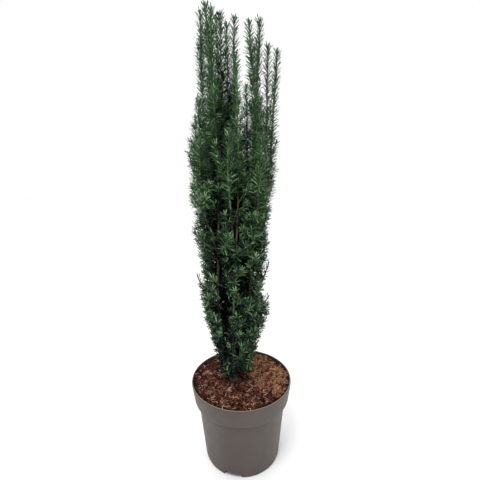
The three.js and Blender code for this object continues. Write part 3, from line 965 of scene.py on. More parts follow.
@dataclass
class Limb:
    """The trunk or a bough: its centreline and how thick it is along it."""

    name: str
    curve: Curve
    radius_at: Callable[[Array], Array]
    steps: int

    def __post_init__(self) -> None:
        """Samples the centreline."""
        samples = self.curve.evenly(2 * self.steps)
        self.starts, self.ends = samples[:-1], samples[1:]
        self.radii = self.radius_at(np.arange(1, len(samples)) / (len(samples) - 1))

    def distance(self, points: Array) -> Array:
        """Clear distances from points to the bark."""
        return (to_segments(points, self.starts, self.ends) - self.radii).min(axis=1)


def trunk_limb(plan: TrunkPlan) -> Limb:
    """The trunk, from its flared foot on the soil to its tip inside the crown.

    Args:
        plan: Its sizes.

    Returns:
        The limb.
    """
    top = np.array(plan.top, float)
    third = np.array((0, 0, top[2] / 3))
    curve = Bezier(np.zeros(3), third, np.array((*plan.sway, 2 * top[2] / 3)), top)

    def radius_at(share: Array) -> Array:
        """The trunk's radius."""
        flare = plan.flare * np.exp(-share * curve.length / plan.flare_height)
        return mix(plan.foot_radius, plan.tip_radius, share) + flare

    return Limb("trunk", curve, radius_at, plan.steps)


def bough_limb(trunk: Limb, spire: Spire, plan: BoughPlan) -> Limb:
    """A bough: it leaves the trunk low down, swings out, and rises almost upright to its spire.

    Args:
        trunk: The trunk.
        spire: The spire that it carries.
        plan: Its sizes.

    Returns:
        The limb.
    """
    start = trunk.curve.points([min(1, spire.fork / trunk.curve.length)])[0]
    end = np.array((*spire.foot, SPIRE_FOOT), float)
    rise = end[2] - start[2]
    over = (end - start) * (1, 1, 0)
    climb = unit(np.array(spire.leaders[0].belly) - end)
    bend = start + plan.swing * over + plan.swing_rise * rise * UP
    curve = Bezier(start, bend, end - plan.upright * rise * climb, end)
    return Limb(
        f"bough_{spire.name}", curve, lambda share: mix(plan.foot_radius, plan.tip_radius, share), plan.steps
    )


class Kind(Enum):
    """What a shoot is, by the order in which it grew."""

    LEADER = "leader"
    SPRAY = "spray"
    TWIG = "twig"
    FINE = "fine"


FINE_ON = {
    Kind.LEADER: (
        FineRule(10, 9, 0.36, 46, 0.85, 0.9, 0, 0.3),
        FineRule(150, 15, 0.68, 90, 0.42, 1.2, 0, 0.5, 3.0, 8.0, (1.0, 0.75, 0.5), 24),
    ),
    Kind.SPRAY: (FineRule(26, 10, 0.92, 42, 0.9, 0.8, 0),),
    Kind.TWIG: (FineRule(11, 10, 0.85, 34, 0.8, 0.8, 0),),
}


class Shoot:
    """One shoot: a stem that bears needles from its bare foot to its bud."""

    WHORL = 14.0
    TWIST = math.radians(50)
    SIDES = 3
    TIP_RADIUS = 1.1
    AXIS_STEP = 25.0

    def __init__(
        self, curve: Curve, radius: float, bare: float, key: int, kind: Kind, root: "Root | None" = None
    ) -> None:
        """Lays out its rows.

        Args:
            curve: The centreline.
            radius: The stem's radius at its foot.
            bare: The length of stem without needles.
            key: Its number within its mass.
            kind: What it is.
            root: The face of its parent that it grows from.
        """
        self.curve, self.radius, self.bare, self.key, self.kind = curve, radius, bare, key, kind
        self.length = curve.length
        self.rows = max(2, int(self.length / self.WHORL + 0.5))
        shares = np.arange(self.rows + 1) / self.rows
        first = root.first_normal(curve.tangents([0])[0]) if root else EAST
        self.frames = Frames.along(curve, shares, first)
        around = np.arange(self.SIDES) / self.SIDES * TURN - math.pi / 2
        turns = around[None] + np.arange(self.rows + 1)[:, None] * self.TWIST
        radii = mix(radius, self.TIP_RADIUS, shares)[:, None, None]
        f = self.frames
        self.rings = f.points[:, None] + radii * f.out(turns)
        low, high = self.rings[:-1], self.rings[1:]
        self.middles = (low + np.roll(low, -1, axis=1) + np.roll(high, -1, axis=1)) / 3
        self.outward = across(self.middles - f.points[:-1, None], f.tangents[:-1, None])
        self.taken: set[tuple[int, int]] = set()
        self.axis = curve.evenly(max(4, int(self.length / self.AXIS_STEP + 0.5)))
        self.number = -1

    def face_towards(self, row: int, direction: Array) -> int:
        """The free face of a row that looks most nearly in a direction."""
        free = [k for k in range(self.SIDES) if (row, k) not in self.taken]
        return max(free, key=lambda k: float(self.outward[row, k] @ direction))


@dataclass
class Root:
    """The face of a parent shoot that a twig grows from."""

    parent: Shoot
    row: int
    side: int

    def middle(self) -> Array:
        """The face's middle."""
        return self.parent.middles[self.row, self.side]

    def first_normal(self, tangent: Array) -> Array:
        """The frame normal that turns the twig's first ring as little as it can from the face's corners.

        Args:
            tangent: The way that the twig sets out.

        Returns:
            The normal.
        """
        low, high = self.parent.rings[self.row], self.parent.rings[self.row + 1]
        beside = (self.side + 1) % Shoot.SIDES
        first = np.zeros(3)
        for i, place in enumerate((low[self.side], low[beside], high[beside])):
            corner = place - self.middle()
            corner = corner - (corner @ tangent) * tangent
            first = first + turned(corner, tangent, -i * TURN / Shoot.SIDES)
        return unit(turned(np.cross(tangent, first), tangent, -Shoot.TWIST))


@dataclass
class Mass:
    """One mass of foliage: its shoots, and the limb that carries it."""

    name: str
    seed: int
    shoots: list[Shoot]
    rule: TwigRule
    limb: Limb | None = None


def shoot_curve(start: Array, direction: Array, length: float, lift: float) -> Bezier:
    """A centreline that sets out in one direction and turns up towards its tip."""
    middle = start + direction * length / 2
    return Bezier(start, middle, middle + unit(direction + UP * lift) * length / 2)


class Space:
    """The room that shoots keep: every limb, and every stem grown so far."""

    MOST_SEGMENTS = 60000

    def __init__(self, limbs: Sequence[Limb]) -> None:
        """Starts with the limbs alone."""
        self.limbs = limbs
        self.starts = np.zeros((self.MOST_SEGMENTS, 3))
        self.ends = np.zeros((self.MOST_SEGMENTS, 3))
        self.owners = np.zeros(self.MOST_SEGMENTS, int)
        self.filled = 0
        self.shoots = 0

    def add(self, shoot: Shoot) -> None:
        """Adds a shoot's stem and numbers the shoot."""
        shoot.number = self.shoots
        self.shoots += 1
        size = len(shoot.axis) - 1
        here = slice(self.filled, self.filled + size)
        self.starts[here], self.ends[here], self.owners[here] = shoot.axis[:-1], shoot.axis[1:], shoot.number
        self.filled += size

    def stems(self) -> tuple[Array, Array]:
        """The starts and ends of every stem's segments so far."""
        return self.starts[: self.filled], self.ends[: self.filled]

    def near(self, centre: Array, radius: float, without: Sequence[int]) -> tuple[Array, Array]:
        """The stems near a place, as segments.

        Args:
            centre: The place.
            radius: How far away they may be.
            without: The numbers of shoots that don't count.

        Returns:
            Their starts and ends.
        """
        starts, ends = self.stems()
        halves = np.linalg.norm(ends - starts, axis=1) / 2
        close = np.linalg.norm((starts + ends) / 2 - centre, axis=1) < radius + halves
        close &= ~np.isin(self.owners[: self.filled], without)
        return starts[close], ends[close]

    def limb_distance(self, points: Array) -> Array:
        """Clear distances from points to the nearest bark."""
        return np.min([limb.distance(points) for limb in self.limbs], axis=0)

    def in_crown(self, points: Array, margin: float, inset: float) -> Array:
        """Which points are inside the crown, above the soil, and clear of the limbs."""
        inside = np.hypot(points[:, 0], points[:, 1]) <= reach_at(points) - inset
        return inside & (points[:, 2] >= CROWN_LOWEST) & (self.limb_distance(points) > margin)


class Plant:
    """The plant's limbs and shoots."""

    TWIG_ROOM = Room(5.0, 14.0, 4.0, (0.15, 0.4, 0.7, 1.0), -CROWN_RAGGED, False)
    LEADER_RADIUS, TWIG_RADIUS, BARE = 2.1, 2.1, 6.0
    FINE_LIMB_ROOM, FINE_KEY = 2.0, 5000
    FINE_APART, FINE_SPREAD, FINE_LENGTH = 0.25, 0.22, 0.25
    SHOOT_TURN, IN_STEM, IN_LIMB = 2.4, 0.6, 0.8

    def __init__(self) -> None:
        """Grows the plant as its solids grow."""
        self.trunk = trunk_limb(TrunkPlan())
        self.boughs = {s.name: bough_limb(self.trunk, s, BoughPlan()) for s in SPIRES if s.foot}
        self.limbs = [self.trunk, *self.boughs.values()]
        self.space = Space(self.limbs)
        self.masses: list[Mass] = []
        for i, spire in enumerate(SPIRES):
            self.settle(self.spire_mass(spire, i + 1))
        for i in range(SprayPlan.count):
            self.settle(self.spray_mass(i, SprayPlan()))
        for mass in self.masses:
            self.grow_twigs(mass)

    def settle(self, mass: Mass) -> None:
        """Gives a new mass its space."""
        self.masses.append(mass)
        for shoot in mass.shoots:
            self.space.add(shoot)

    def spire_mass(self, spire: Spire, seed: int) -> Mass:
        """The upright leaders on a bough's tip, or on the trunk's: the first bears the others.

        Args:
            spire: Their plan.
            seed: The mass's number, for its uneven draws.

        Returns:
            The mass.
        """
        carrier = self.boughs.get(spire.name, self.trunk)
        foot = carrier.curve.points([1])[0] + carrier.curve.tangents([1])[0] * CLEARANCE
        radius = float(carrier.radius_at(np.array(1.0)))
        lead, *others = spire.leaders
        first = Shoot(LeaderCurve(foot, lead.belly, lead.tip), radius, self.BARE, 0, Kind.LEADER)
        shoots = [first]
        for i, other in enumerate(others):
            row = int(FORK_OFF * (i + 1) * first.rows + 0.5)
            side = first.face_towards(row, np.array(other.belly) - first.frames.points[row])
            root = Root(first, row, side)
            first.taken.add((row, side))
            curve = LeaderCurve(root.middle(), other.belly, other.tip)
            shoots.append(Shoot(curve, self.LEADER_RADIUS, self.BARE, i + 1, Kind.LEADER, root))
        return Mass(f"spire_{spire.name}", seed, shoots, ON_LEADER, carrier)

    def spray_mass(self, index: int, plan: SprayPlan) -> Mass:
        """A spray on the trunk. It swings a little to either side to find a way out between the limbs.

        Args:
            index: Its number, from the lowest.
            plan: The sizes of all sprays.

        Returns:
            The mass.
        """
        height = mix(plan.lowest, plan.highest, index / (plan.count - 1))
        curves, rooms = [], []
        for i in range(plan.tries):
            swing = (1 if i % 2 else -1) * math.ceil(i / 2) * plan.swing
            curve = self.spray_curve(height, index * GOLDEN_ANGLE + swing, plan)
            curves.append(curve)
            rooms.append(min(plan.room, self.room_around(curve, plan)))
        shoot = Shoot(curves[rooms.index(max(rooms))], plan.root_radius, plan.bare, 0, Kind.SPRAY)
        return Mass(f"spray_{index + 1:02d}", plan.seed + index, [shoot], ON_SPRAY)

    def spray_curve(self, height: float, azimuth: float, plan: SprayPlan) -> Bezier:
        """A spray's centreline: out from the trunk to the crown's face, and then up along it.

        Args:
            height: How far up the trunk it starts.
            azimuth: The way that it looks, in radians.
            plan: The sizes of all sprays.

        Returns:
            The centreline.
        """
        start = self.trunk.curve.points([min(1, height / self.trunk.curve.length)])[0]
        out = np.array((math.cos(azimuth), math.sin(azimuth), 0))
        place = np.array([[out[0], out[1], height + plan.edge_rise * plan.rise]])
        reach = max(plan.least_reach, float(reach_at(place)[0]) - plan.inset - float(start @ out))
        bend = start + out * plan.bend_reach * reach + UP * plan.bend_rise * plan.rise
        return Bezier(start, bend, start + out * reach + UP * plan.rise)

    def room_around(self, curve: Curve, plan: SprayPlan) -> float:
        """The least distance from a centreline, past its root, to the limbs and stems so far."""
        points = curve.evenly(plan.room_samples)[plan.root_samples :]
        stems = to_segments(points, *self.space.stems())
        return min(float(self.space.limb_distance(points).min()), float(stems.min()))

    def has_room(self, curve: Curve, parent: int, room: Room) -> bool:
        """Whether a twig stays in the crown, off its neighbours, and clear of the limbs.

        Args:
            curve: The twig's centreline.
            parent: The number of the shoot that bears it, which may be near.
            room: The room that it keeps.

        Returns:
            Whether all of it has room.
        """
        points = curve.points(room.shares)
        if not self.space.in_crown(points, room.limb, room.inset).all():
            return False
        if room.off_hollows and any(hollow.holds(points).any() for hollow in HOLLOWS):
            return False
        centre = points.mean(axis=0)
        starts, ends = self.space.near(centre, curve.length / 2 + 2 * room.tip, [parent])
        if not len(starts):
            return True
        least = mix(room.foot, room.tip, np.array(room.shares))
        return bool((to_segments(points, starts, ends).min(axis=1) > least).all())

    def grow_twigs(self, mass: Mass) -> None:
        """Twigs on a mass's main shoots, to left and right in turn, each only where it has room.

        Args:
            mass: The mass, which gains the twigs.
        """
        rule = mass.rule
        for parent in list(mass.shoots):
            at, n = rule.first, 0
            while at < rule.until * parent.length:
                draw = (mass.seed, parent.key, n)
                row = int(at / parent.length * parent.rows + 0.5)
                tangent = parent.frames.tangents[row]
                out = across(unit(parent.frames.points[row] * (1, 1, 0)), tangent)
                turn = (1 if n % 2 else -1) * (rule.around + jitter(UNEVEN_AROUND, *draw, 1))
                out = turned(out, tangent, turn)
                side = parent.face_towards(row, out)
                spread = rule.spread + jitter(UNEVEN_SPREAD, *draw, 2)
                direction = out * math.sin(spread) + tangent * math.cos(spread)
                length = rule.length * (1 + jitter(UNEVEN_LENGTH, *draw, 3))
                root = Root(parent, row, side)
                curve = shoot_curve(root.middle(), direction, length, rule.lift)
                if self.has_room(curve, parent.number, self.TWIG_ROOM):
                    key = TWIG_KEY * (parent.key + 1) + n
                    twig = Shoot(curve, self.TWIG_RADIUS, self.BARE, key, Kind.TWIG, root)
                    parent.taken.add((row, side))
                    mass.shoots.append(twig)
                    self.space.add(twig)
                at += rule.apart
                n += 1

    def grow_fine(self) -> None:
        """The finer twigs that the solids leave out: on every shoot, and on the bare limbs."""
        for mass in self.masses:
            for parent in list(mass.shoots):
                for rule in self.fine_rules(parent):
                    self.fringe(mass, parent, rule)
            if mass.limb:
                for rule in FINE_ON_TRUNK if mass.limb is self.trunk else FINE_ON_LIMB:
                    self.fringe_limb(mass, rule)

    def fine_rules(self, parent: Shoot) -> tuple[FineRule, ...]:
        """The rules for a shoot's fine twigs. Leaders at the back, and the fullest in front, have more.

        Args:
            parent: The shoot.

        Returns:
            The rules, in the order that they are grown by.
        """
        rules = FINE_ON[parent.kind]
        if parent.kind is not Kind.LEADER:
            return rules
        middle, tip = parent.curve.points([BEHIND_AT, 1.0])
        if middle[1] > BEHIND_FROM:
            rules = (*rules, FINE_BEHIND)
        if tip[2] > FULL_ABOVE and any(left < tip[0] < right for left, right in FULL_PAIRS):
            rules = (*rules, FINE_ON_FULL)
        return rules

    def fringe(self, mass: Mass, parent: Shoot, rule: FineRule) -> None:
        """Grows fine twigs all round a shoot.

        Args:
            mass: The mass that they belong to.
            parent: The shoot that bears them.
            rule: How they stand.
        """
        at, n = rule.first, 0
        while at < rule.until * parent.length:
            share = np.array([at / parent.length])
            frames = parent.frames.at(parent.curve, share)
            around = n * GOLDEN_ANGLE + self.SHOOT_TURN * parent.number
            out = frames.normals[0] * math.cos(around) + frames.sides[0] * math.sin(around)
            foot = frames.points[0]
            radius = float(mix(parent.radius, Shoot.TIP_RADIUS, share[0])) * self.IN_STEM
            shorter = 1 - rule.shorter * share[0]
            self.try_twig(mass, parent, rule, foot + out * radius, out, frames.tangents[0], shorter, n)
            at += rule.apart * (1 + jitter(self.FINE_APART, parent.number, n, 7))
            n += 1

    def fringe_limb(self, mass: Mass, rule: FineRule) -> None:
        """Grows fine twigs all round the bare limb that carries a mass.

        Args:
            mass: The mass that they belong to.
            rule: How they stand.
        """
        limb = mass.limb
        at, n = rule.first, 0
        while at < rule.until * limb.curve.length:
            share = np.array([at / limb.curve.length])
            tangent = limb.curve.tangents(share)[0]
            first = across(EAST, tangent)
            around = n * GOLDEN_ANGLE + mass.seed
            out = first * math.cos(around) + np.cross(tangent, first) * math.sin(around)
            foot = limb.curve.points(share)[0] + out * (float(limb.radius_at(share)[0]) - self.IN_LIMB)
            self.try_twig(mass, None, rule, foot, out, tangent, 1.0, n)
            at += rule.apart
            n += 1

    def try_twig(
        self,
        mass: Mass,
        parent: Shoot | None,
        rule: FineRule,
        foot: Array,
        out: Array,
        tangent: Array,
        shorter: float,
        n: int,
    ) -> None:
        """Adds one fine twig, as long as has room.

        Args:
            mass: The mass that it belongs to.
            parent: The shoot that bears it, or None on a limb.
            rule: How it stands.
            foot: Where it starts.
            out: The way out of its parent there.
            tangent: The parent's direction there.
            shorter: The share of the rule's length that it may have.
            n: Its number on its parent.
        """
        number = parent.number if parent else -1 - mass.seed
        draw = (number + self.FINE_KEY, n)
        spread = rule.spread + jitter(self.FINE_SPREAD, *draw, 1)
        direction = out * math.sin(spread) + tangent * math.cos(spread)
        length = rule.length * shorter * (1 + jitter(self.FINE_LENGTH, *draw, 2))
        room = Room(rule.foot_room, rule.tip_room, self.FINE_LIMB_ROOM, rule.shares, rule.inset)
        for trim in rule.trims:
            if length * trim < rule.least:
                return
            curve = shoot_curve(foot, direction, length * trim, rule.lift)
            if self.has_room(curve, number, room):
                twig = Shoot(curve, rule.radius, rule.bare, n, Kind.FINE)
                mass.shoots.append(twig)
                self.space.add(twig)
                return


# Foliage -----------------------------------------------------


@dataclass(frozen=True)
class NeedleRule:
    """How needles stand on a shoot: lengths in millimetres, angles from the stem in radians."""

    apart: float
    foot_length: float
    tip_length: float
    foot_angle: float
    tip_angle: float
    curl: float
    width: float = 2.2


NEEDLES_ON = {
    Kind.LEADER: NeedleRule(1.05, 27, 17, 0.85, 0.7, 1.1, 2.3),
    Kind.SPRAY: NeedleRule(1.2, 20.5, 16, 1.05, 0.75, 0.6, 1.85),
    Kind.TWIG: NeedleRule(1.2, 20.5, 16, 1.05, 0.75, 0.6, 1.85),
    Kind.FINE: NeedleRule(1.35, 20, 16, 1.1, 0.8, 0.55, 1.85),
}
# As the palette lists them: from the darkest painted shade to the painted highlight, then a needle's back;
# and from a stem's foot to its tip.
NEEDLE_TONES = [finish for finish in Palette if finish.name.startswith("NEEDLE")]
STEM_TONES = [finish for finish in Palette if finish.name.startswith("STEM")]


@dataclass
class Needles:
    """The needles of one shoot, as arrays with a row for each."""

    share: Array
    foot: Array
    start: Array
    end: Array
    tangent: Array
    length: Array

    def along(self, u: float) -> Array:
        """Points a share of the way along the needles, which bend from start to end."""
        reach = (self.length * u)[:, None]
        return self.foot + reach * (self.start * (1 - u / 2) + self.end * (u / 2))

    def only(self, keep: Array) -> "Needles":
        """Some of the needles."""
        rows = (self.share, self.foot, self.start, self.end, self.tangent, self.length)
        return Needles(*(row[keep] for row in rows))


class NeedleMaker:
    """Needles as closed ridged meshes: sixteen triangles each, or ten where they lie deep."""

    SECTIONS = np.array((0.0, 0.22, 0.84))
    WIDTHS = np.array((0.5, 1.0, 0.94))
    RIDGE = 0.26
    PROBES = np.array((0.23, 0.46, 0.62, 0.8, 1.0))
    TRIMS = np.array((0.0, 0.0, 0.46, 0.62, 0.8, 1.0))
    LEAST_SHARE = 0.6
    LIMB_ROOM = 1.1
    STEM_ROOM = 0.9
    LOWEST = 2
    RAGGED = (-3, 9)
    DEEP_WIDER = 1.5
    FULL_WIDTH_FROM, LEAST_WIDTH = 14, 0.6
    PLAIN_BELOW = 0.6
    PLAIN_CORNERS = np.array((0, 1, 2, 6, 7, 8, 9))
    FOOT_SPARSER = 1.2
    FOOT_SHORTER, SHORTER_UNTIL = 0.68, 12
    TUFT, TUFT_BACK, TUFT_SHORTER = 9, 0.6, 0.68
    TUFT_LEAST, TUFT_WIDEST, LEADER_TUFT_WIDEST = 0.2, 1.15, 0.85
    IN_STEM = 0.6
    ANGLE_CURVE, RISING = 1.4, 0.05
    UNEVEN_PLACE, UNEVEN_TURN, UNEVEN_ANGLE, UNEVEN_ROLL = 0.2, 0.3, 0.2, 0.35
    UNEVEN_BEND, UNEVEN_LENGTH, UNEVEN_WIDTH = (-0.15, 0.3), (0.8, 1.12), (0.85, 1.12)
    UNEVEN_TONE = 1.3
    LIGHTEST = 5

    def __init__(self, space: Space) -> None:
        """Works out the patterns of triangles.

        Args:
            space: The room that needles keep to.
        """
        self.space = space
        around, foot = tube(len(self.SECTIONS), 3), (0, 2, 1)
        tip, plain_tip = ([(ring + k, ring + (k + 1) % 3, ring + 3) for k in range(3)] for ring in (6, 3))
        self.pattern = np.array([*around, *tip, foot])
        self.plain_pattern = np.array([*around[:6], *plain_tip, foot])
        # The foot's triangles, which take a darker tone: painted shade by the stem.
        self.is_foot = np.arange(len(self.pattern)) < 6
        self.is_back = np.array([(i // 2) % 3 == 2 for i in range(12)] + [False, False, True, False])

    def grow(
        self, heap: Heap, shoot: Shoot, level: Callable[[Array, Array], Array], random: Random
    ) -> None:
        """Adds a shoot's needles.

        Args:
            heap: Where they go.
            shoot: The stem.
            level: Gives how light needles are painted from their shares of the stem and their feet, from 0
            in painted shade deep inside to 5 in painted light at an exposed tip.
            random: The source of unevenness.
        """
        needles = self.laid_out(shoot, random)
        kept = self.room_share(shoot, needles, random)
        if shoot.kind is Kind.FINE:
            kept *= kept > self.LEAST_SHARE
        needles.length *= kept
        needles = needles.only(kept > 0)
        if not len(needles.foot):
            return
        lightness = level(needles.share, needles.foot)
        corners = self.corners(needles, lightness, NEEDLES_ON[shoot.kind].width, random)
        tones = self.tones(lightness, random)
        plain = lightness < self.PLAIN_BELOW
        heap.add(corners[~plain], self.pattern, tones[~plain])
        if plain.any():
            plain_tones = tones[plain][:, : len(self.plain_pattern)]
            heap.add(corners[plain][:, self.PLAIN_CORNERS], self.plain_pattern, plain_tones)

    def laid_out(self, shoot: Shoot, random: Random) -> Needles:
        """Sets needles all along a shoot, with a tuft round its bud.

        Args:
            shoot: The stem.
            random: The source of unevenness.

        Returns:
            The needles, at the length that they would grow to.
        """
        rule, leader = NEEDLES_ON[shoot.kind], shoot.kind is Kind.LEADER
        places = np.arange(shoot.bare, shoot.length - 0.5, rule.apart)
        places = shoot.bare + (places - shoot.bare) * mix(self.FOOT_SPARSER, 1.0, places / shoot.length)
        places = np.concatenate((places, np.full(self.TUFT, shoot.length - self.TUFT_BACK)))
        tuft = slice(-self.TUFT, None)
        n = len(places)

        def uneven(size: float) -> Array:
            """A random number from -size to size for every needle."""
            return random.uniform(-size, size, n)

        share = places / shoot.length + uneven(self.UNEVEN_PLACE) * rule.apart / shoot.length
        share = np.clip(share, 0, 1)
        frames = shoot.frames.at(shoot.curve, share)
        turn = np.arange(n) * GOLDEN_ANGLE + shoot.number + uneven(self.UNEVEN_TURN)
        out = frames.out(turn[:, None])[:, 0]
        angle = mix(rule.foot_angle, rule.tip_angle, share**self.ANGLE_CURVE) + uneven(self.UNEVEN_ANGLE)
        widest = self.LEADER_TUFT_WIDEST if leader else self.TUFT_WIDEST
        angle[tuft] = random.uniform(self.TUFT_LEAST, widest, self.TUFT)
        bent = angle + rule.curl * (1 - share**2) + random.uniform(*self.UNEVEN_BEND, n)
        ahead = frames.tangents
        start = out * np.sin(angle)[:, None] + ahead * np.cos(angle)[:, None]
        end = unit(out * np.sin(bent)[:, None] + ahead * np.cos(bent)[:, None] + UP * self.RISING)
        length = mix(rule.foot_length, rule.tip_length, share**2) * random.uniform(*self.UNEVEN_LENGTH, n)
        length *= mix(self.FOOT_SHORTER, 1.0, rising(places, shoot.bare, self.SHORTER_UNTIL))
        if leader:
            length[tuft] *= self.TUFT_SHORTER
        radius = mix(shoot.radius, Shoot.TIP_RADIUS, share) * self.IN_STEM
        return Needles(share, frames.points + out * radius[:, None], start, end, ahead, length)

    def room_share(self, shoot: Shoot, needles: Needles, random: Random) -> Array:
        """The share of each needle that has room: whole, cut down, or none.

        Args:
            shoot: The stem that bears the needles.
            needles: The needles at their full length.
            random: The source of the crown's ragged edge.

        Returns:
            The one of the TRIMS for as many probes as are free in a row.
        """
        n = len(needles.foot)
        points = np.stack([needles.along(u) for u in self.PROBES]).reshape(-1, 3)
        ragged = np.tile(random.uniform(*self.RAGGED, n), len(self.PROBES))
        free = np.hypot(points[:, 0], points[:, 1]) <= reach_at(points) + ragged
        free &= (points[:, 2] >= self.LOWEST) & (self.space.limb_distance(points) > self.LIMB_ROOM)
        for hollow in HOLLOWS:
            if hollow.bare or shoot.kind is Kind.FINE:
                free &= ~hollow.holds(points)
        centre = points.mean(axis=0)
        wide = float(np.linalg.norm(points - centre, axis=1).max())
        starts, ends = self.space.near(centre, wide + 2, [shoot.number])
        if len(starts):
            free &= to_segments(points, starts, ends).min(axis=1) > self.STEM_ROOM
        run = np.cumprod(free.reshape(len(self.PROBES), n), axis=0).sum(axis=0)
        return self.TRIMS[run]

    def corners(self, needles: Needles, lightness: Array, wide: float, random: Random) -> Array:
        """The corners of needles: three of each section, and the point.

        Args:
            needles: The needles, cut down to what has room.
            lightness: How light each is: the deepest are wider.
            wide: The width of a long one.
            random: The source of unevenness.

        Returns:
            (needles, 10, 3).
        """
        n = len(needles.foot)
        full = np.clip(needles.length / self.FULL_WIDTH_FROM, self.LEAST_WIDTH, 1)
        width = wide * random.uniform(*self.UNEVEN_WIDTH, n) * full
        width *= mix(self.DEEP_WIDER, 1.0, np.clip(lightness, 0, 1))
        roll = random.uniform(-self.UNEVEN_ROLL, self.UNEVEN_ROLL, n)[:, None]
        corners = np.empty((n, 10, 3))
        for i, (u, share) in enumerate(zip(self.SECTIONS, self.WIDTHS)):
            middle = needles.along(u)
            ahead = unit(mix(needles.start, needles.end, u))
            top = across(needles.tangent, ahead)
            side = np.cross(ahead, top)
            side, top = side * np.cos(roll) + top * np.sin(roll), top * np.cos(roll) - side * np.sin(roll)
            half = (width * share / 2)[:, None]
            corners[:, 3 * i] = middle - side * half
            corners[:, 3 * i + 1] = middle + top * half * 2 * self.RIDGE
            corners[:, 3 * i + 2] = middle + side * half
        corners[:, 9] = needles.along(1.0)
        return corners

    def tones(self, lightness: Array, random: Random) -> Array:
        """The material numbers of needles' triangles: a tone darker at the foot as painted shade by the
        stem, dull on the back.

        Args:
            lightness: How light each needle is.
            random: The source of unevenness.

        Returns:
            (needles, triangles).
        """
        uneven = random.normal(0, self.UNEVEN_TONE, len(lightness))
        tone = np.clip(np.round(lightness + uneven), 0, self.LIGHTEST).astype(int)
        tones = np.repeat(tone[:, None], len(self.pattern), axis=1)
        # A tone darker at each needle's foot: painted shade by the stem.
        tones[:, self.is_foot] = np.maximum(tone - 1, 0)[:, None]
        back = self.is_back[None] & (tone[:, None] >= NEEDLE_TONES.index(Palette.NEEDLE_BLUE))
        tones[back] = NEEDLE_TONES.index(Palette.NEEDLE_BACK)
        return tones


class StemMaker:
    """Stems as closed tapering tubes that end in a bud."""

    SIDES, FINE_SIDES = 7, 4
    STEP, LEAST_STEPS = 9, 3
    TAPER = 0.5
    THICKER, THICKER_UNTIL = 1.5, 0.4
    SUNK = 1.2
    BUD = ((1.4, 1.35), (3.2, 0.9))
    BUD_LENGTH = 4.6

    def __init__(self) -> None:
        """Keeps the patterns of triangles that it has worked out."""
        self.patterns: dict[tuple[int, int], Array] = {}

    def pattern(self, rings: int, sides: int) -> Array:
        """The triangles of a tube with a flat foot and a pointed end.

        Args:
            rings: How many rings of corners it has.
            sides: Corners in each ring.

        Returns:
            (triangles, 3).
        """
        if (rings, sides) not in self.patterns:
            last, point = (rings - 1) * sides, rings * sides
            end = [(last + k, last + (k + 1) % sides, point) for k in range(sides)]
            foot = [(0, k, k - 1) for k in range(2, sides)]
            self.patterns[rings, sides] = np.array([*tube(rings, sides), *end, *foot])
        return self.patterns[rings, sides]

    def grow(self, heap: Heap, shoot: Shoot, tone_at: Callable[[Array], Array]) -> None:
        """Adds a shoot's stem.

        Args:
            heap: Where it goes.
            shoot: The shoot.
            tone_at: Gives the material number at shares of its length.
        """
        sides = self.FINE_SIDES if shoot.kind is Kind.FINE else self.SIDES
        steps = max(self.LEAST_STEPS, round(shoot.length / self.STEP))
        share = np.arange(steps + 1) / steps
        frames = shoot.frames.at(shoot.curve, share)
        out = frames.out(np.arange(sides) / sides * TURN)
        radii = shoot.radius * (1 - self.TAPER * share**2)
        if shoot.kind is Kind.LEADER:
            radii = radii + self.THICKER * np.clip(1 - share / self.THICKER_UNTIL, 0, 1)
        rings = frames.points[:, None] + out * radii[:, None, None]
        rings[0] -= frames.tangents[0] * self.SUNK
        ahead, end = frames.tangents[-1], frames.points[-1]
        bud = [end + ahead * run + out[-1] * radius for run, radius in self.BUD]
        places = np.concatenate((rings.reshape(-1, 3), *bud, (end + ahead * self.BUD_LENGTH)[None]))
        pattern = self.pattern(steps + 3, sides)
        rows = np.minimum(pattern.min(axis=1) // sides, steps) / steps
        heap.add(places[None], pattern, tone_at(rows)[None])


@dataclass(frozen=True)
class Group:
    """Masses whose foliage is joined into one piece of twigs and one of needles."""

    name: str
    masses: tuple[str, ...]


GROUPS = (
    Group("sprays_low", tuple(f"spray_{i:02d}" for i in range(1, 9))),
    Group("sprays_middle", tuple(f"spray_{i:02d}" for i in range(9, 16))),
    Group("sprays_high", tuple(f"spray_{i:02d}" for i in range(16, 23))),
    Group("spires_front", ("spire_front_left", "spire_front", "spire_front_right")),
    Group("spires_left", ("spire_left",)),
    Group("spires_right", ("spire_right", "spire_back_right")),
    Group("spires_back", ("spire_back_left", "spire_back")),
    Group("spires_centre", ("spire_centre",)),
)


@dataclass(frozen=True)
class LightRule:
    """What paints needles light and dark: a level from 0, painted shade deep inside the crown, to 5, painted
    light at an exposed tip.

    A band is where it starts and how far it takes, in millimetres. Heights are above the soil.
    """

    uneven: float = 0.6
    at_axis: float = -1.5
    outside: float = 4.3
    most_exposed: float = 1.18
    high: Pair = (320, 400)
    high_exposed: float = 0.62
    free: Pair = (770, 120)
    free_exposed: float = 0.2
    back: Pair = (-10, 50)
    back_loss: float = 1.3
    back_less_high: float = 0.5
    back_inside: Pair = (1.6, 1.3)
    low: Pair = (320, -120)
    low_outside: float = 1.5
    low_loss: float = 0.7
    upper: Pair = (480, 150)
    upper_gain: float = 0.4
    hollow_loss: float = 2.5
    leader_tip: float = 16
    leader_tip_loss: float = 1.0
    tip_gain: float = 0.9
    tip_from: float = 0.6
    most: float = 3.3
    low_less: float = 0.3


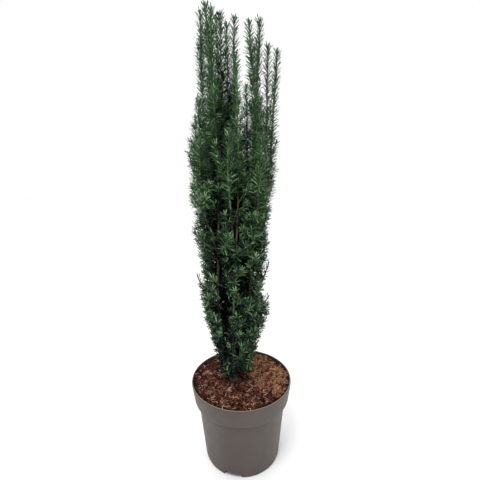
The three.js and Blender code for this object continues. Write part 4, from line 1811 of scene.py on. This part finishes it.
class Foliage:
    """All twigs and needles."""

    # Where the older part of a stem ends, as a share of its length, and the olive stretch past it.
    OLD_UNTIL = {Kind.LEADER: 0.36, Kind.SPRAY: 0.5, Kind.TWIG: 0.3, Kind.FINE: 0.2}
    OLD_UNEVEN, OLIVE = 0.08, 0.12
    # A line across the plan: leaders whose tips stand to its right have red stems.
    RED_SLANT, RED_FROM = 0.4, 60
    FIRST_SEED = 100

    def __init__(self, plant: Plant) -> None:
        """Takes the grown plant.

        Args:
            plant: The plant, with its fine twigs.
        """
        self.plant = plant
        self.needles = NeedleMaker(plant.space)
        self.stems = StemMaker()

    def level(self, shoot: Shoot) -> Callable[[Array, Array], Array]:
        """How light a shoot's needles are painted: painted shade deep inside the crown, at the back and in
        the hollows, painted light outside and on top.

        Args:
            shoot: The shoot.

        Returns:
            A function that gives needles' levels from their shares of the stem and their feet.
        """
        rule = LightRule()
        own = jitter(rule.uneven, shoot.number, 3)
        leader = shoot.kind is Kind.LEADER

        def level_at(share: Array, feet: Array) -> Array:
            """The level at shares of the stem, where the needles' feet are."""
            height = feet[:, 2]
            high, free, low, upper = (
                rising(height, *band) for band in (rule.high, rule.free, rule.low, rule.upper)
            )
            # Painted light and shade: needles further out, higher up and in the open lighter, those at the
            # back and low darker.
            out = np.clip(np.hypot(feet[:, 0], feet[:, 1]) / np.maximum(reach_at(feet), 1), 0, 1)
            exposed = out + rule.high_exposed * high + rule.free_exposed * free
            exposed = np.clip(exposed, 0, rule.most_exposed)
            most, less = rule.back_inside
            back = rising(feet[:, 1], *rule.back) * (1 - rule.back_less_high * high)
            back = back * np.clip(most - less * out, 0, 1)
            level = own + rule.at_axis + rule.outside * exposed**2 - rule.back_loss * back
            level = level + low * (rule.low_outside * out - rule.low_loss) + rule.upper_gain * upper
            # Painted shade in the clefts and gaps.
            for hollow in HOLLOWS:
                level -= rule.hollow_loss * hollow.holds(feet)
            if leader:
                level -= rule.leader_tip_loss * (share * shoot.length > shoot.length - rule.leader_tip)
            else:
                level += rule.tip_gain * (share - rule.tip_from)
            return np.minimum(level, rule.most - rule.low_less * low)

        return level_at

    def stem_tones(self, shoot: Shoot) -> Callable[[Array], Array]:
        """The stem's colours from its foot to its tip.

        Args:
            shoot: The shoot.

        Returns:
            A function that gives the stem's material numbers at shares of its length.
        """
        old, red, olive, green = range(len(STEM_TONES))
        start = self.OLD_UNTIL[shoot.kind] + jitter(self.OLD_UNEVEN, shoot.number, 4)
        young = olive
        if shoot.kind is Kind.LEADER:
            tip = shoot.curve.points([1])[0]
            young = red if tip[0] + self.RED_SLANT * tip[1] > self.RED_FROM else green
        if shoot.kind not in (Kind.LEADER, Kind.SPRAY):
            old = olive

        def tone_at(share: Array) -> Array:
            """Material numbers at shares of the stem."""
            return np.where(share < start, old, np.where(share < start + self.OLIVE, olive, young))

        return tone_at

    def build(self) -> None:
        """Makes every group's two pieces."""
        masses = {mass.name: mass for mass in self.plant.masses}
        for number, group in enumerate(GROUPS):
            random = np.random.default_rng(self.FIRST_SEED + number)
            needles, stems = Heap(), Heap()
            for name in group.masses:
                for shoot in masses[name].shoots:
                    self.needles.grow(needles, shoot, self.level(shoot), random)
                    self.stems.grow(stems, shoot, self.stem_tones(shoot))
            for kind, heap, finishes in (("needles", needles, NEEDLE_TONES), ("twigs", stems, STEM_TONES)):
                for places in heap.places:
                    places += STEM_FOOT
                piece = piece_of(f"{group.name}_{kind}", heap.mesh(kind == "twigs"), finishes)
                dress(piece, "needles" if kind == "needles" else "bark", *group.masses)


# Trunk and boughs --------------------------------------------


@dataclass(frozen=True)
class BarkRelief:
    """Strips of flaking bark, in millimetres, and their deepest as shares of a limb's radius."""

    step: float = 2.4
    strip_width: float = 2.6
    strip_length: float = 22
    depth: float = 0.75
    depth_share: float = 0.16
    flake_width: float = 1.4
    flake_length: float = 6
    flake: float = 0.3
    flake_share: float = 0.07
    lobes: int = 4
    lobe_turn: float = 1.1
    lobe_depth: float = 2.2
    lobe_middle: float = 0.6
    lobe_height: float = 9


class LimbPiece:
    """A limb as one skin, drawn out ring by ring along its centreline."""

    # The limbs in light, which keep the bark as it is; the others take a darker copy as painted shade.
    LIT_LIMBS = ("trunk", "bough_front")
    TRUNK_SIDES, SIDES = 28, 16
    SMOOTH_UNDER = 1.2

    def __init__(self, limb: Limb, relief: BarkRelief) -> None:
        """Takes the limb.

        Args:
            limb: The limb.
            relief: Its bark.
        """
        self.limb, self.relief = limb, relief
        self.is_trunk = limb.name == "trunk"
        self.sides = self.TRUNK_SIDES if self.is_trunk else self.SIDES

    def rings(self) -> Array:
        """The rings of corners, from the foot to the tip, (rings, sides, 3)."""
        relief, curve = self.relief, self.limb.curve
        count = math.ceil(curve.length / relief.step)
        share = np.arange(count + 1) / count
        frames = Frames.along(curve, share, EAST)
        turns = np.arange(self.sides) / self.sides * TURN
        radii = self.limb.radius_at(share)
        rings = np.empty((count + 1, self.sides, 3))
        for i, (point, radius) in enumerate(zip(frames.points, radii)):
            run = share[i] * curve.length
            for k, turn in enumerate(turns):
                out = frames.normals[i] * math.cos(turn) + frames.sides[i] * math.sin(turn)
                where = Vector(out * radius / relief.strip_width) + Vector((0, 0, run / relief.strip_length))
                fine = Vector(out * radius / relief.flake_width) + Vector((5, 5, run / relief.flake_length))
                depth = min(relief.depth, relief.depth_share * radius) * noise.noise(where)
                depth += min(relief.flake, relief.flake_share * radius) * noise.noise(fine)
                if self.is_trunk:
                    lobe = 0.5 + 0.5 * math.cos(relief.lobes * turn + relief.lobe_turn)
                    fade = math.exp(-run / relief.lobe_height)
                    depth += relief.lobe_depth * (lobe - relief.lobe_middle) * fade
                rings[i, k] = point + out * (radius + depth)
        return rings

    def build(self) -> None:
        """Makes the piece."""
        bm = bmesh.new()
        bmesh.ops.create_circle(bm, cap_ends=True, segments=self.sides, radius=1)
        bm.faces.ensure_lookup_table()
        face = bm.faces[0]
        for i, ring in enumerate(self.rings() + STEM_FOOT):
            if i:
                drawn = bmesh.ops.extrude_face_region(bm, geom=[face])
                face = next(f for f in drawn["geom"] if isinstance(f, bmesh.types.BMFace))
            for loop, place in zip(face.loops, ring):
                loop.vert.co = place
        # The boughs in the crown take the darker bark: painted shade.
        bark = Palette.TRUNK if self.limb.name in self.LIT_LIMBS else Palette.BARK_IN_SHADE
        piece = piece_of(f"{self.limb.name}_bark", mesh_of(bm, self.SMOOTH_UNDER), [bark])
        dress(piece, "bark", self.limb.name)


# Pot and mulch -----------------------------------------------


@dataclass(frozen=True)
class PotSizes:
    """The pot's sizes in millimetres, with its profile as radius, height and rounding of each corner."""

    profile: tuple[Triple, ...] = (
        (0, 13, 0), (99, 13, 1.5), (100, 0, 0.8), (105.5, 0, 0.8),
        (107, 3, 1.5), (108.24, 16, 0), (110.14, 36, 0), (116.57, 103.5, 0),
        (123, 171, 2.5), (132, 175, 2.0), (133.5, 179, 2.5), (140, 226, 1.2),
        (139, 229, 0.9), (137, 229, 0.9), (136, 226, 1.2), (131.3, 179, 2.5),
        (120.8, 175, 2.5), (106.6, 19, 3.0), (102.2, 15.2, 1.5), (0, 15.2, 0),
    )
    steps: int = 192
    notch: Triple = (28, 47, 24)
    notch_radius: float = 107
    notch_angle: float = -104.5
    notch_rounding: float = 2.5
    notches: int = 3
    drain_radius: float = 7
    drain_circle: float = 72
    drain_height: float = 14
    drain_cut: float = 9
    drain_sides: int = 28
    drains: int = 6
    inside_from: float = 14


# How much of a side a corner's rounding may take.
MOST_ROUNDED = 0.45


def rounded(profile: Sequence[Triple], steps: int = 4) -> list[Pair]:
    """A profile with its corners rounded.

    Args:
        profile: Radius, height and rounding of each corner.
        steps: Stretches in each rounding.

    Returns:
        The points as radius and height.
    """
    points = []
    for i, (r, z, fillet) in enumerate(profile):
        here = np.array((r, z), float)
        if not fillet:
            points.append((r, z))
            continue
        before, after = (np.array(profile[i + d][:2], float) - here for d in (-1, 1))
        reach = min(fillet, *(MOST_ROUNDED * np.linalg.norm(side) for side in (before, after)))
        first, last = here + unit(before) * reach, here + unit(after) * reach
        for k in range(steps + 1):
            t = k / steps
            points.append(tuple((1 - t) ** 2 * first + 2 * t * (1 - t) * here + t**2 * last))
    return points


def spun(points: Sequence[Pair], steps: int) -> bmesh.types.BMesh:
    """A profile turned once round the upright axis.

    Args:
        points: Radius and height of each point, from axis to axis.
        steps: Steps in the turn.

    Returns:
        The closed bmesh, in millimetres.
    """
    bm = bmesh.new()
    corners = [bm.verts.new((r, 0, z)) for r, z in points]
    edges = [bm.edges.new(pair) for pair in zip(corners, corners[1:])]
    bmesh.ops.spin(
        bm, geom=[*corners, *edges], cent=(0, 0, 0), axis=(0, 0, 1), angle=TURN, steps=steps, use_merge=True
    )
    bmesh.ops.remove_doubles(bm, verts=bm.verts, dist=1e-3)
    bmesh.ops.recalc_face_normals(bm, faces=bm.faces)
    return bm


class Pot:
    """The nursery pot: a thin moulded shell with a stepped collar, drain holes and a notched foot."""

    def __init__(self, sizes: PotSizes) -> None:
        """Takes its sizes."""
        self.sizes = sizes

    def cutters(self) -> bpy.types.Object:
        """The notches and drain holes as one object."""
        s = self.sizes
        bm = bmesh.new()
        for i in range(s.notches):
            turn = Matrix.Rotation(math.radians(s.notch_angle) + i * TURN / s.notches, 4, "Z")
            place = turn @ Matrix.Translation((s.notch_radius, 0, 0)) @ Matrix.Diagonal((*s.notch, 1))
            box = bmesh.ops.create_cube(bm, size=1, matrix=place)
            edges = [e for v in box["verts"] for e in v.link_edges if self.is_corner(e, s.notch[2])]
            bmesh.ops.bevel(
                bm,
                geom=list(dict.fromkeys(edges)),
                offset=s.notch_rounding,
                segments=4,
                affect="EDGES",
                profile=0.5,
                material=-1,
            )
        for i in range(s.drains):
            turn = Matrix.Rotation((i + 0.5) * TURN / s.drains, 4, "Z")
            bmesh.ops.create_cone(
                bm,
                cap_ends=True,
                segments=s.drain_sides,
                radius1=s.drain_radius,
                radius2=s.drain_radius,
                depth=s.drain_cut,
                matrix=turn @ Matrix.Translation((s.drain_circle, 0, s.drain_height)),
            )
        return piece_of("cutters", mesh_of(bm), [Palette.POT])

    @staticmethod
    def is_corner(edge: bmesh.types.BMEdge, height: float) -> bool:
        """Whether an edge of a notch's cutter runs outwards along its top.

        Args:
            edge: The edge.
            height: The cutter's height, half of it above the ground.

        Returns:
            Whether it does.
        """
        a, b = (v.co for v in edge.verts)
        on_top = abs(a.z - b.z) < 1e-4 and a.z > height / 4
        return on_top and abs(a.xy.normalized().dot((a - b).xy.normalized())) > 0.7

    def build(self) -> None:
        """Makes the piece."""
        pot = piece_of("pot_shell", mesh_of(spun(rounded(self.sizes.profile), self.sizes.steps)), [])
        cutters = self.cutters()
        cut = pot.modifiers.new("cut", "BOOLEAN")
        cut.object, cut.operation, cut.solver = cutters, "DIFFERENCE", "EXACT"
        shaped = pot.evaluated_get(bpy.context.evaluated_depsgraph_get())
        mesh = bpy.data.meshes.new_from_object(shaped)
        bpy.data.objects.remove(pot)
        bpy.data.objects.remove(cutters)
        mesh.materials.clear()
        piece = piece_of("pot_shell", mesh, [Palette.POT, Palette.POT_INSIDE_SHADED])
        # Inward faces above the drain holes take the darker copy: painted shade.
        for face in mesh.polygons:
            centre, normal = face.center, face.normal
            inward = centre.xy.dot(normal.xy) < -0.2 * centre.xy.length
            face.material_index = int(inward and centre.z > self.sizes.inside_from * MM)
        dress(piece, "pot_plastic", "pot")


@dataclass(frozen=True)
class MulchSizes:
    """The mulch's sizes in millimetres, with its profile as radius and height of each corner."""

    profile: tuple[Pair, ...] = (
        (0, 15.5), (100, 15.5), (106.0, 20),
        (120.3, 176), (131.0, 180), (134.6, 219),
    )
    top: float = 219
    rings: int = 56
    steps: int = 150
    settled: float = 1.2
    lump: float = 4.6
    lump_share: float = 0.8
    wide_lump: float = 17
    small_lump: float = 6
    brim: float = 5.0
    brim_from: float = 70
    brim_width: float = 65
    brim_curve: float = 1.5
    quiet: float = 16
    quiet_width: float = 20
    stem_room: float = 15
    chips: int = 2500
    chip: tuple[Pair, ...] = ((2.5, 8), (1.3, 3.6), (0.5, 1.6))
    chip_uneven: Pair = (-0.35, 0.2)
    chip_tilt: float = 0.4
    chip_lift: Pair = (0.2, 2.6)
    chip_room: float = 3
    shreds: int = 1300
    shred_reach: Pair = (4, 13)
    shred_curl: float = 2.2
    shred_rise: float = 0.22
    shred_width: Pair = (0.35, 0.9)
    shred_lift: float = 2.6
    shred_highest: float = 227.5
    shred_room: float = 8
    shred_rings: int = 6


class Mulch:
    """The root ball's lumpy top, with loose chips of bark and coir fibres on it."""

    # Where the chips' tones change, from dark to tan, how blurred that is, and what the ground in painted
    # light adds.
    CHIP_TONES, CHIP_BLUR, CHIP_LIT = (0.57, 0.88, 0.975), 0.3, 0.46
    # The same for the shreds, from red to tan, and the chance of a straw one, least and on the ground in
    # painted light.
    SHRED_TONES, SHRED_BLUR, STRAW, STRAW_LIT = (0.76,), 0.45, 0.04, 0.5
    # Ground in painted light: how its edge slants over the plan, where it starts and how far it takes.
    LIT_SLANT, LIT_FROM, LIT_WIDTH = 0.6, 10, 50
    SEED = 7
    CORNERS = np.array([(x, y, z) for z in (-1, 1) for y in (-1, 1) for x in (-1, 1)], float)
    BOX = np.array(
        (
            (0, 2, 3), (0, 3, 1), (4, 5, 7), (4, 7, 6), (0, 1, 5), (0, 5, 4),
            (2, 6, 7), (2, 7, 3), (0, 4, 6), (0, 6, 2), (1, 3, 7), (1, 7, 5),
        )
    )  # fmt: skip

    def __init__(self, sizes: MulchSizes) -> None:
        """Takes its sizes."""
        self.sizes = sizes
        self.random = np.random.default_rng(self.SEED)

    def height(self, x: float, y: float) -> float:
        """The bed's height at a place.

        Args:
            x: How far right of the pot's axis it is.
            y: How far behind it.

        Returns:
            The height.
        """
        s = self.sizes
        away = math.hypot(x - STEM_FOOT[0], y - STEM_FOOT[1])
        calm = max(0.0, min(1.0, (away - s.quiet) / s.quiet_width))
        lumps = noise.noise(Vector((x / s.wide_lump, y / s.wide_lump, 3.0)))
        lumps = lumps + 0.5 * noise.noise(Vector((x / s.small_lump, y / s.small_lump, 8.0)))
        brim = max(0.0, (math.hypot(x, y) - s.brim_from) / s.brim_width) ** s.brim_curve * s.brim
        return s.top - s.settled + calm * s.lump * lumps * s.lump_share + brim

    def bed(self) -> None:
        """Makes the root ball and its top."""
        s = self.sizes
        edge = s.profile[-1][0]
        inner = [(edge * (1 - i / s.rings), s.top) for i in range(1, s.rings + 1)]
        bm = spun([*s.profile, *inner], s.steps)
        for vert in bm.verts:
            if vert.co.z > s.top - 1:
                vert.co.z = self.height(vert.co.x, vert.co.y)
        dress(piece_of("mulch_bed", mesh_of(bm, 1.0), [Palette.MULCH_BED]), "mulch", "soil")

    def places(self, count: int, clear: float) -> Array:
        """Places spread over the bed, off the stem and off the pot's wall.

        Args:
            count: How many.
            clear: How far they stay from the wall.

        Returns:
            (count, 3).
        """
        found = []
        while len(found) < count:
            reach = (self.sizes.profile[-1][0] - clear) * math.sqrt(self.random.random())
            turn = self.random.random() * TURN
            x, y = reach * math.cos(turn), reach * math.sin(turn)
            if math.hypot(x - STEM_FOOT[0], y - STEM_FOOT[1]) > self.sizes.stem_room:
                found.append((x, y, self.height(x, y)))
        return np.array(found)

    def raised(self, places: Array, blur: float) -> Array:
        """How high places lie on the lumps, in even shares from 0, lowest, to 1.

        Args:
            places: The places.
            blur: How much chance blurs their order.

        Returns:
            The share of each place.
        """
        s = self.sizes
        out = np.hypot(places[:, 0], places[:, 1])
        high = places[:, 2] - s.brim * rising(out, s.brim_from, s.brim_width) ** s.brim_curve
        share = np.argsort(np.argsort(high)) / len(high)
        blurred = share + self.random.normal(0, blur, len(high))
        return np.argsort(np.argsort(blurred)) / len(high)

    def lit(self, places: Array) -> Array:
        """How much painted light the mulch takes at places: 0 in front, 1 at the back on the right."""
        return rising(places[:, 0] + self.LIT_SLANT * places[:, 1], self.LIT_FROM, self.LIT_WIDTH)

    def turns(self, count: int, tilt: float) -> Array:
        """Turns that lay things nearly flat.

        Args:
            count: How many.
            tilt: How far they tilt, in radians.

        Returns:
            Matrices, (count, 3, 3).
        """
        about = self.random.uniform(0, TURN, count)
        lean = self.random.normal(0, tilt, (2, count))
        made = []
        for angles in zip(*lean, about):
            x, y, z = (Matrix.Rotation(angle, 3, axis) for angle, axis in zip(angles, "XYZ"))
            made.append(np.array(x @ y @ z))
        return np.array(made)

    def chips(self) -> None:
        """Makes the loose chips."""
        s, random = self.sizes, self.random
        places = self.places(s.chips, s.chip_room)
        size = np.stack([random.uniform(*sizes, s.chips) for sizes in s.chip], axis=1)
        corners = self.CORNERS[None] * (1 + random.uniform(*s.chip_uneven, (s.chips, 8, 3)))
        corners = corners * size[:, None]
        corners = np.einsum("nij,nkj->nki", self.turns(s.chips, s.chip_tilt), corners)
        places[:, 2] += random.uniform(*s.chip_lift, s.chips)
        corners += places[:, None]
        # Tone by height on the lumps: painted shade in the hollows, painted light on the tops, and more at
        # the back on the right.
        light = self.raised(places, self.CHIP_BLUR) + self.CHIP_LIT * self.lit(places)
        tone = np.searchsorted(self.CHIP_TONES, light)
        heap = Heap()
        heap.add(corners, self.BOX, np.repeat(tone[:, None], len(self.BOX), axis=1))
        finishes = [Palette.CHIP_DARK, Palette.CHIP_RED, Palette.CHIP_BROWN, Palette.CHIP_TAN]
        dress(piece_of("mulch_chips", heap.mesh(), finishes), "mulch", "soil")

    def shreds(self) -> None:
        """Makes the long curled shreds of bark and coir, each a thin strip."""
        s, random = self.sizes, self.random
        places = self.places(s.shreds, s.shred_room)
        about = random.uniform(0, TURN, s.shreds)
        reach = random.uniform(*s.shred_reach, s.shreds)
        curl = random.uniform(-s.shred_curl, s.shred_curl, s.shreds)
        rise = random.normal(0, s.shred_rise, s.shreds)
        wide = random.uniform(*s.shred_width, s.shreds)
        # Pale straw shreds gather where the ground takes painted light.
        straw = random.random(s.shreds) < self.STRAW + self.STRAW_LIT * self.lit(places)
        level = np.zeros(s.shreds)
        sideways = np.stack((-np.sin(about), np.cos(about), level), axis=1)
        corners = []
        for t in np.linspace(-1, 1, s.shred_rings):
            turn = about + curl * t / 2
            ahead = np.stack((np.cos(turn), np.sin(turn), rise), axis=1)
            beside = np.stack((-np.sin(turn), np.cos(turn), level), axis=1)
            bow = sideways * (reach * curl * t * t / 4)[:, None]
            middle = places + ahead * (reach * t)[:, None] + bow + UP * s.shred_lift
            middle[:, 2] = np.minimum(middle[:, 2], s.shred_highest)
            half = (wide * (1 - 0.5 * t * t))[:, None]
            for side, up in ((-1, -0.35), (1, -0.35), (1, 0.35), (-1, 0.35)):
                corners.append(middle + beside * side * half + UP * up * half)
        last = 4 * (s.shred_rings - 1)
        ends = [(0, 3, 2), (0, 2, 1), (last, last + 1, last + 2), (last, last + 2, last + 3)]
        faces = np.array([*ends, *tube(s.shred_rings, 4)])
        # Shreds low on the lumps are darker: painted shade.
        tone = np.searchsorted(self.SHRED_TONES, self.raised(places, self.SHRED_BLUR))
        tone = np.where(straw, 2, tone)
        heap = Heap()
        heap.add(np.stack(corners, axis=1), faces, np.repeat(tone[:, None], len(faces), axis=1))
        finishes = [Palette.SHRED_RED, Palette.SHRED_TAN, Palette.SHRED_STRAW]
        dress(piece_of("mulch_shreds", heap.mesh(), finishes), "mulch", "soil")

    def build(self) -> None:
        """Makes every piece of the mulch."""
        self.bed()
        self.chips()
        self.shreds()


# Studio ------------------------------------------------------


@dataclass(frozen=True)
class Glow:
    """How the sky's light changes along an axis: where, and from how much to how much."""

    axis: str
    low: float
    high: float
    least: float
    most: float


@dataclass(frozen=True)
class Lamp:
    """A soft square lamp, and the height on the plant's axis that it faces."""

    name: str
    place: Triple
    target: float
    size: float
    power: float

    def build(self) -> None:
        """Hangs the lamp."""
        light = bpy.data.lights.new(self.name, "AREA")
        light.size, light.energy = self.size, self.power
        lamp = bpy.data.objects.new(self.name, light)
        away = Vector(self.place) - Vector((0, 0, self.target))
        turn = away.to_track_quat("Z", "Y").to_matrix().to_4x4()
        lamp.matrix_world = Matrix.Translation(self.place) @ turn
        bpy.context.scene.collection.objects.link(lamp)


@dataclass(frozen=True)
class StudioSizes:
    """The camera and the lights, in metres and degrees, with the lens and sensor in millimetres."""

    eye: Triple = (0.004, -0.80, 0.781)
    pitch: float = -11.0
    roll: float = -1.1
    lens: float = 23.325
    sensor: float = 36
    floor: float = 30.0
    glows: tuple[Glow, Glow] = (Glow("Y", 0.1, 0.5, 0.25, 1.0), Glow("Z", 0.35, 0.9, 0.0, 0.9))
    lamps: tuple[Lamp, ...] = (
        Lamp("key", (-0.6, -1.1, 2.6), 0.6, 1.0, 34),
        Lamp("fill", (1.6, -1.4, 1.2), 0.5, 2.0, 4),
    )


class Studio:
    """A pale floor, soft light and the camera."""

    def __init__(self, sizes: StudioSizes) -> None:
        """Takes its sizes."""
        self.sizes = sizes

    def floor(self) -> None:
        """Lays the floor."""
        bm = bmesh.new()
        bmesh.ops.create_grid(bm, x_segments=1, y_segments=1, size=self.sizes.floor / MM / 2)
        piece_of("floor", mesh_of(bm), [Palette.FLOOR])

    def sky(self) -> None:
        """Lights the scene from all round, most from behind."""
        world = bpy.data.worlds.new("sky")
        world.use_nodes = True
        tree = world.node_tree
        where = tree.nodes.new("ShaderNodeTexCoord")
        apart = tree.nodes.new("ShaderNodeSeparateXYZ")
        tree.links.new(where.outputs["Generated"], apart.inputs["Vector"])
        glow = tree.nodes.new("ShaderNodeMath")
        glow.operation = "ADD"
        for slot, part in enumerate(self.sizes.glows):
            fade = tree.nodes.new("ShaderNodeMapRange")
            fade.interpolation_type = "SMOOTHSTEP"
            ends = {"From Min": part.low, "From Max": part.high, "To Min": part.least, "To Max": part.most}
            for name, value in ends.items():
                fade.inputs[name].default_value = value
            tree.links.new(apart.outputs[part.axis], fade.inputs["Value"])
            tree.links.new(fade.outputs["Result"], glow.inputs[slot])
        background = tree.nodes["Background"]
        tree.links.new(glow.outputs["Value"], background.inputs["Strength"])
        background.inputs["Color"].default_value = (1, 1, 1, 1)
        bpy.context.scene.world = world

    def camera(self) -> None:
        """Sets the camera."""
        s = self.sizes
        camera = bpy.data.objects.new("camera", bpy.data.cameras.new("camera"))
        camera.data.lens, camera.data.sensor_width = s.lens, s.sensor
        pitch = Matrix.Rotation(math.radians(90 + s.pitch), 4, "X")
        roll = Matrix.Rotation(math.radians(s.roll), 4, "Z")
        camera.matrix_world = Matrix.Translation(s.eye) @ (pitch @ roll)
        bpy.context.scene.collection.objects.link(camera)
        bpy.context.scene.camera = camera

    def build(self) -> None:
        """Sets up the studio."""
        self.floor()
        self.sky()
        for lamp in self.sizes.lamps:
            lamp.build()
        self.camera()
        view = bpy.context.scene.view_settings
        view.view_transform, view.look = "Standard", "None"


def main() -> None:
    """Builds the plant, its pot and the studio."""
    logging.basicConfig(level=logging.INFO, format="%(name)s: %(message)s")
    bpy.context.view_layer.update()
    plant = Plant()
    plant.grow_fine()
    Foliage(plant).build()
    for limb in plant.limbs:
        LimbPiece(limb, BarkRelief()).build()
    Pot(PotSizes()).build()
    Mulch(MulchSizes()).build()
    Studio(StudioSizes()).build()


if __name__ == "__main__":
    main()
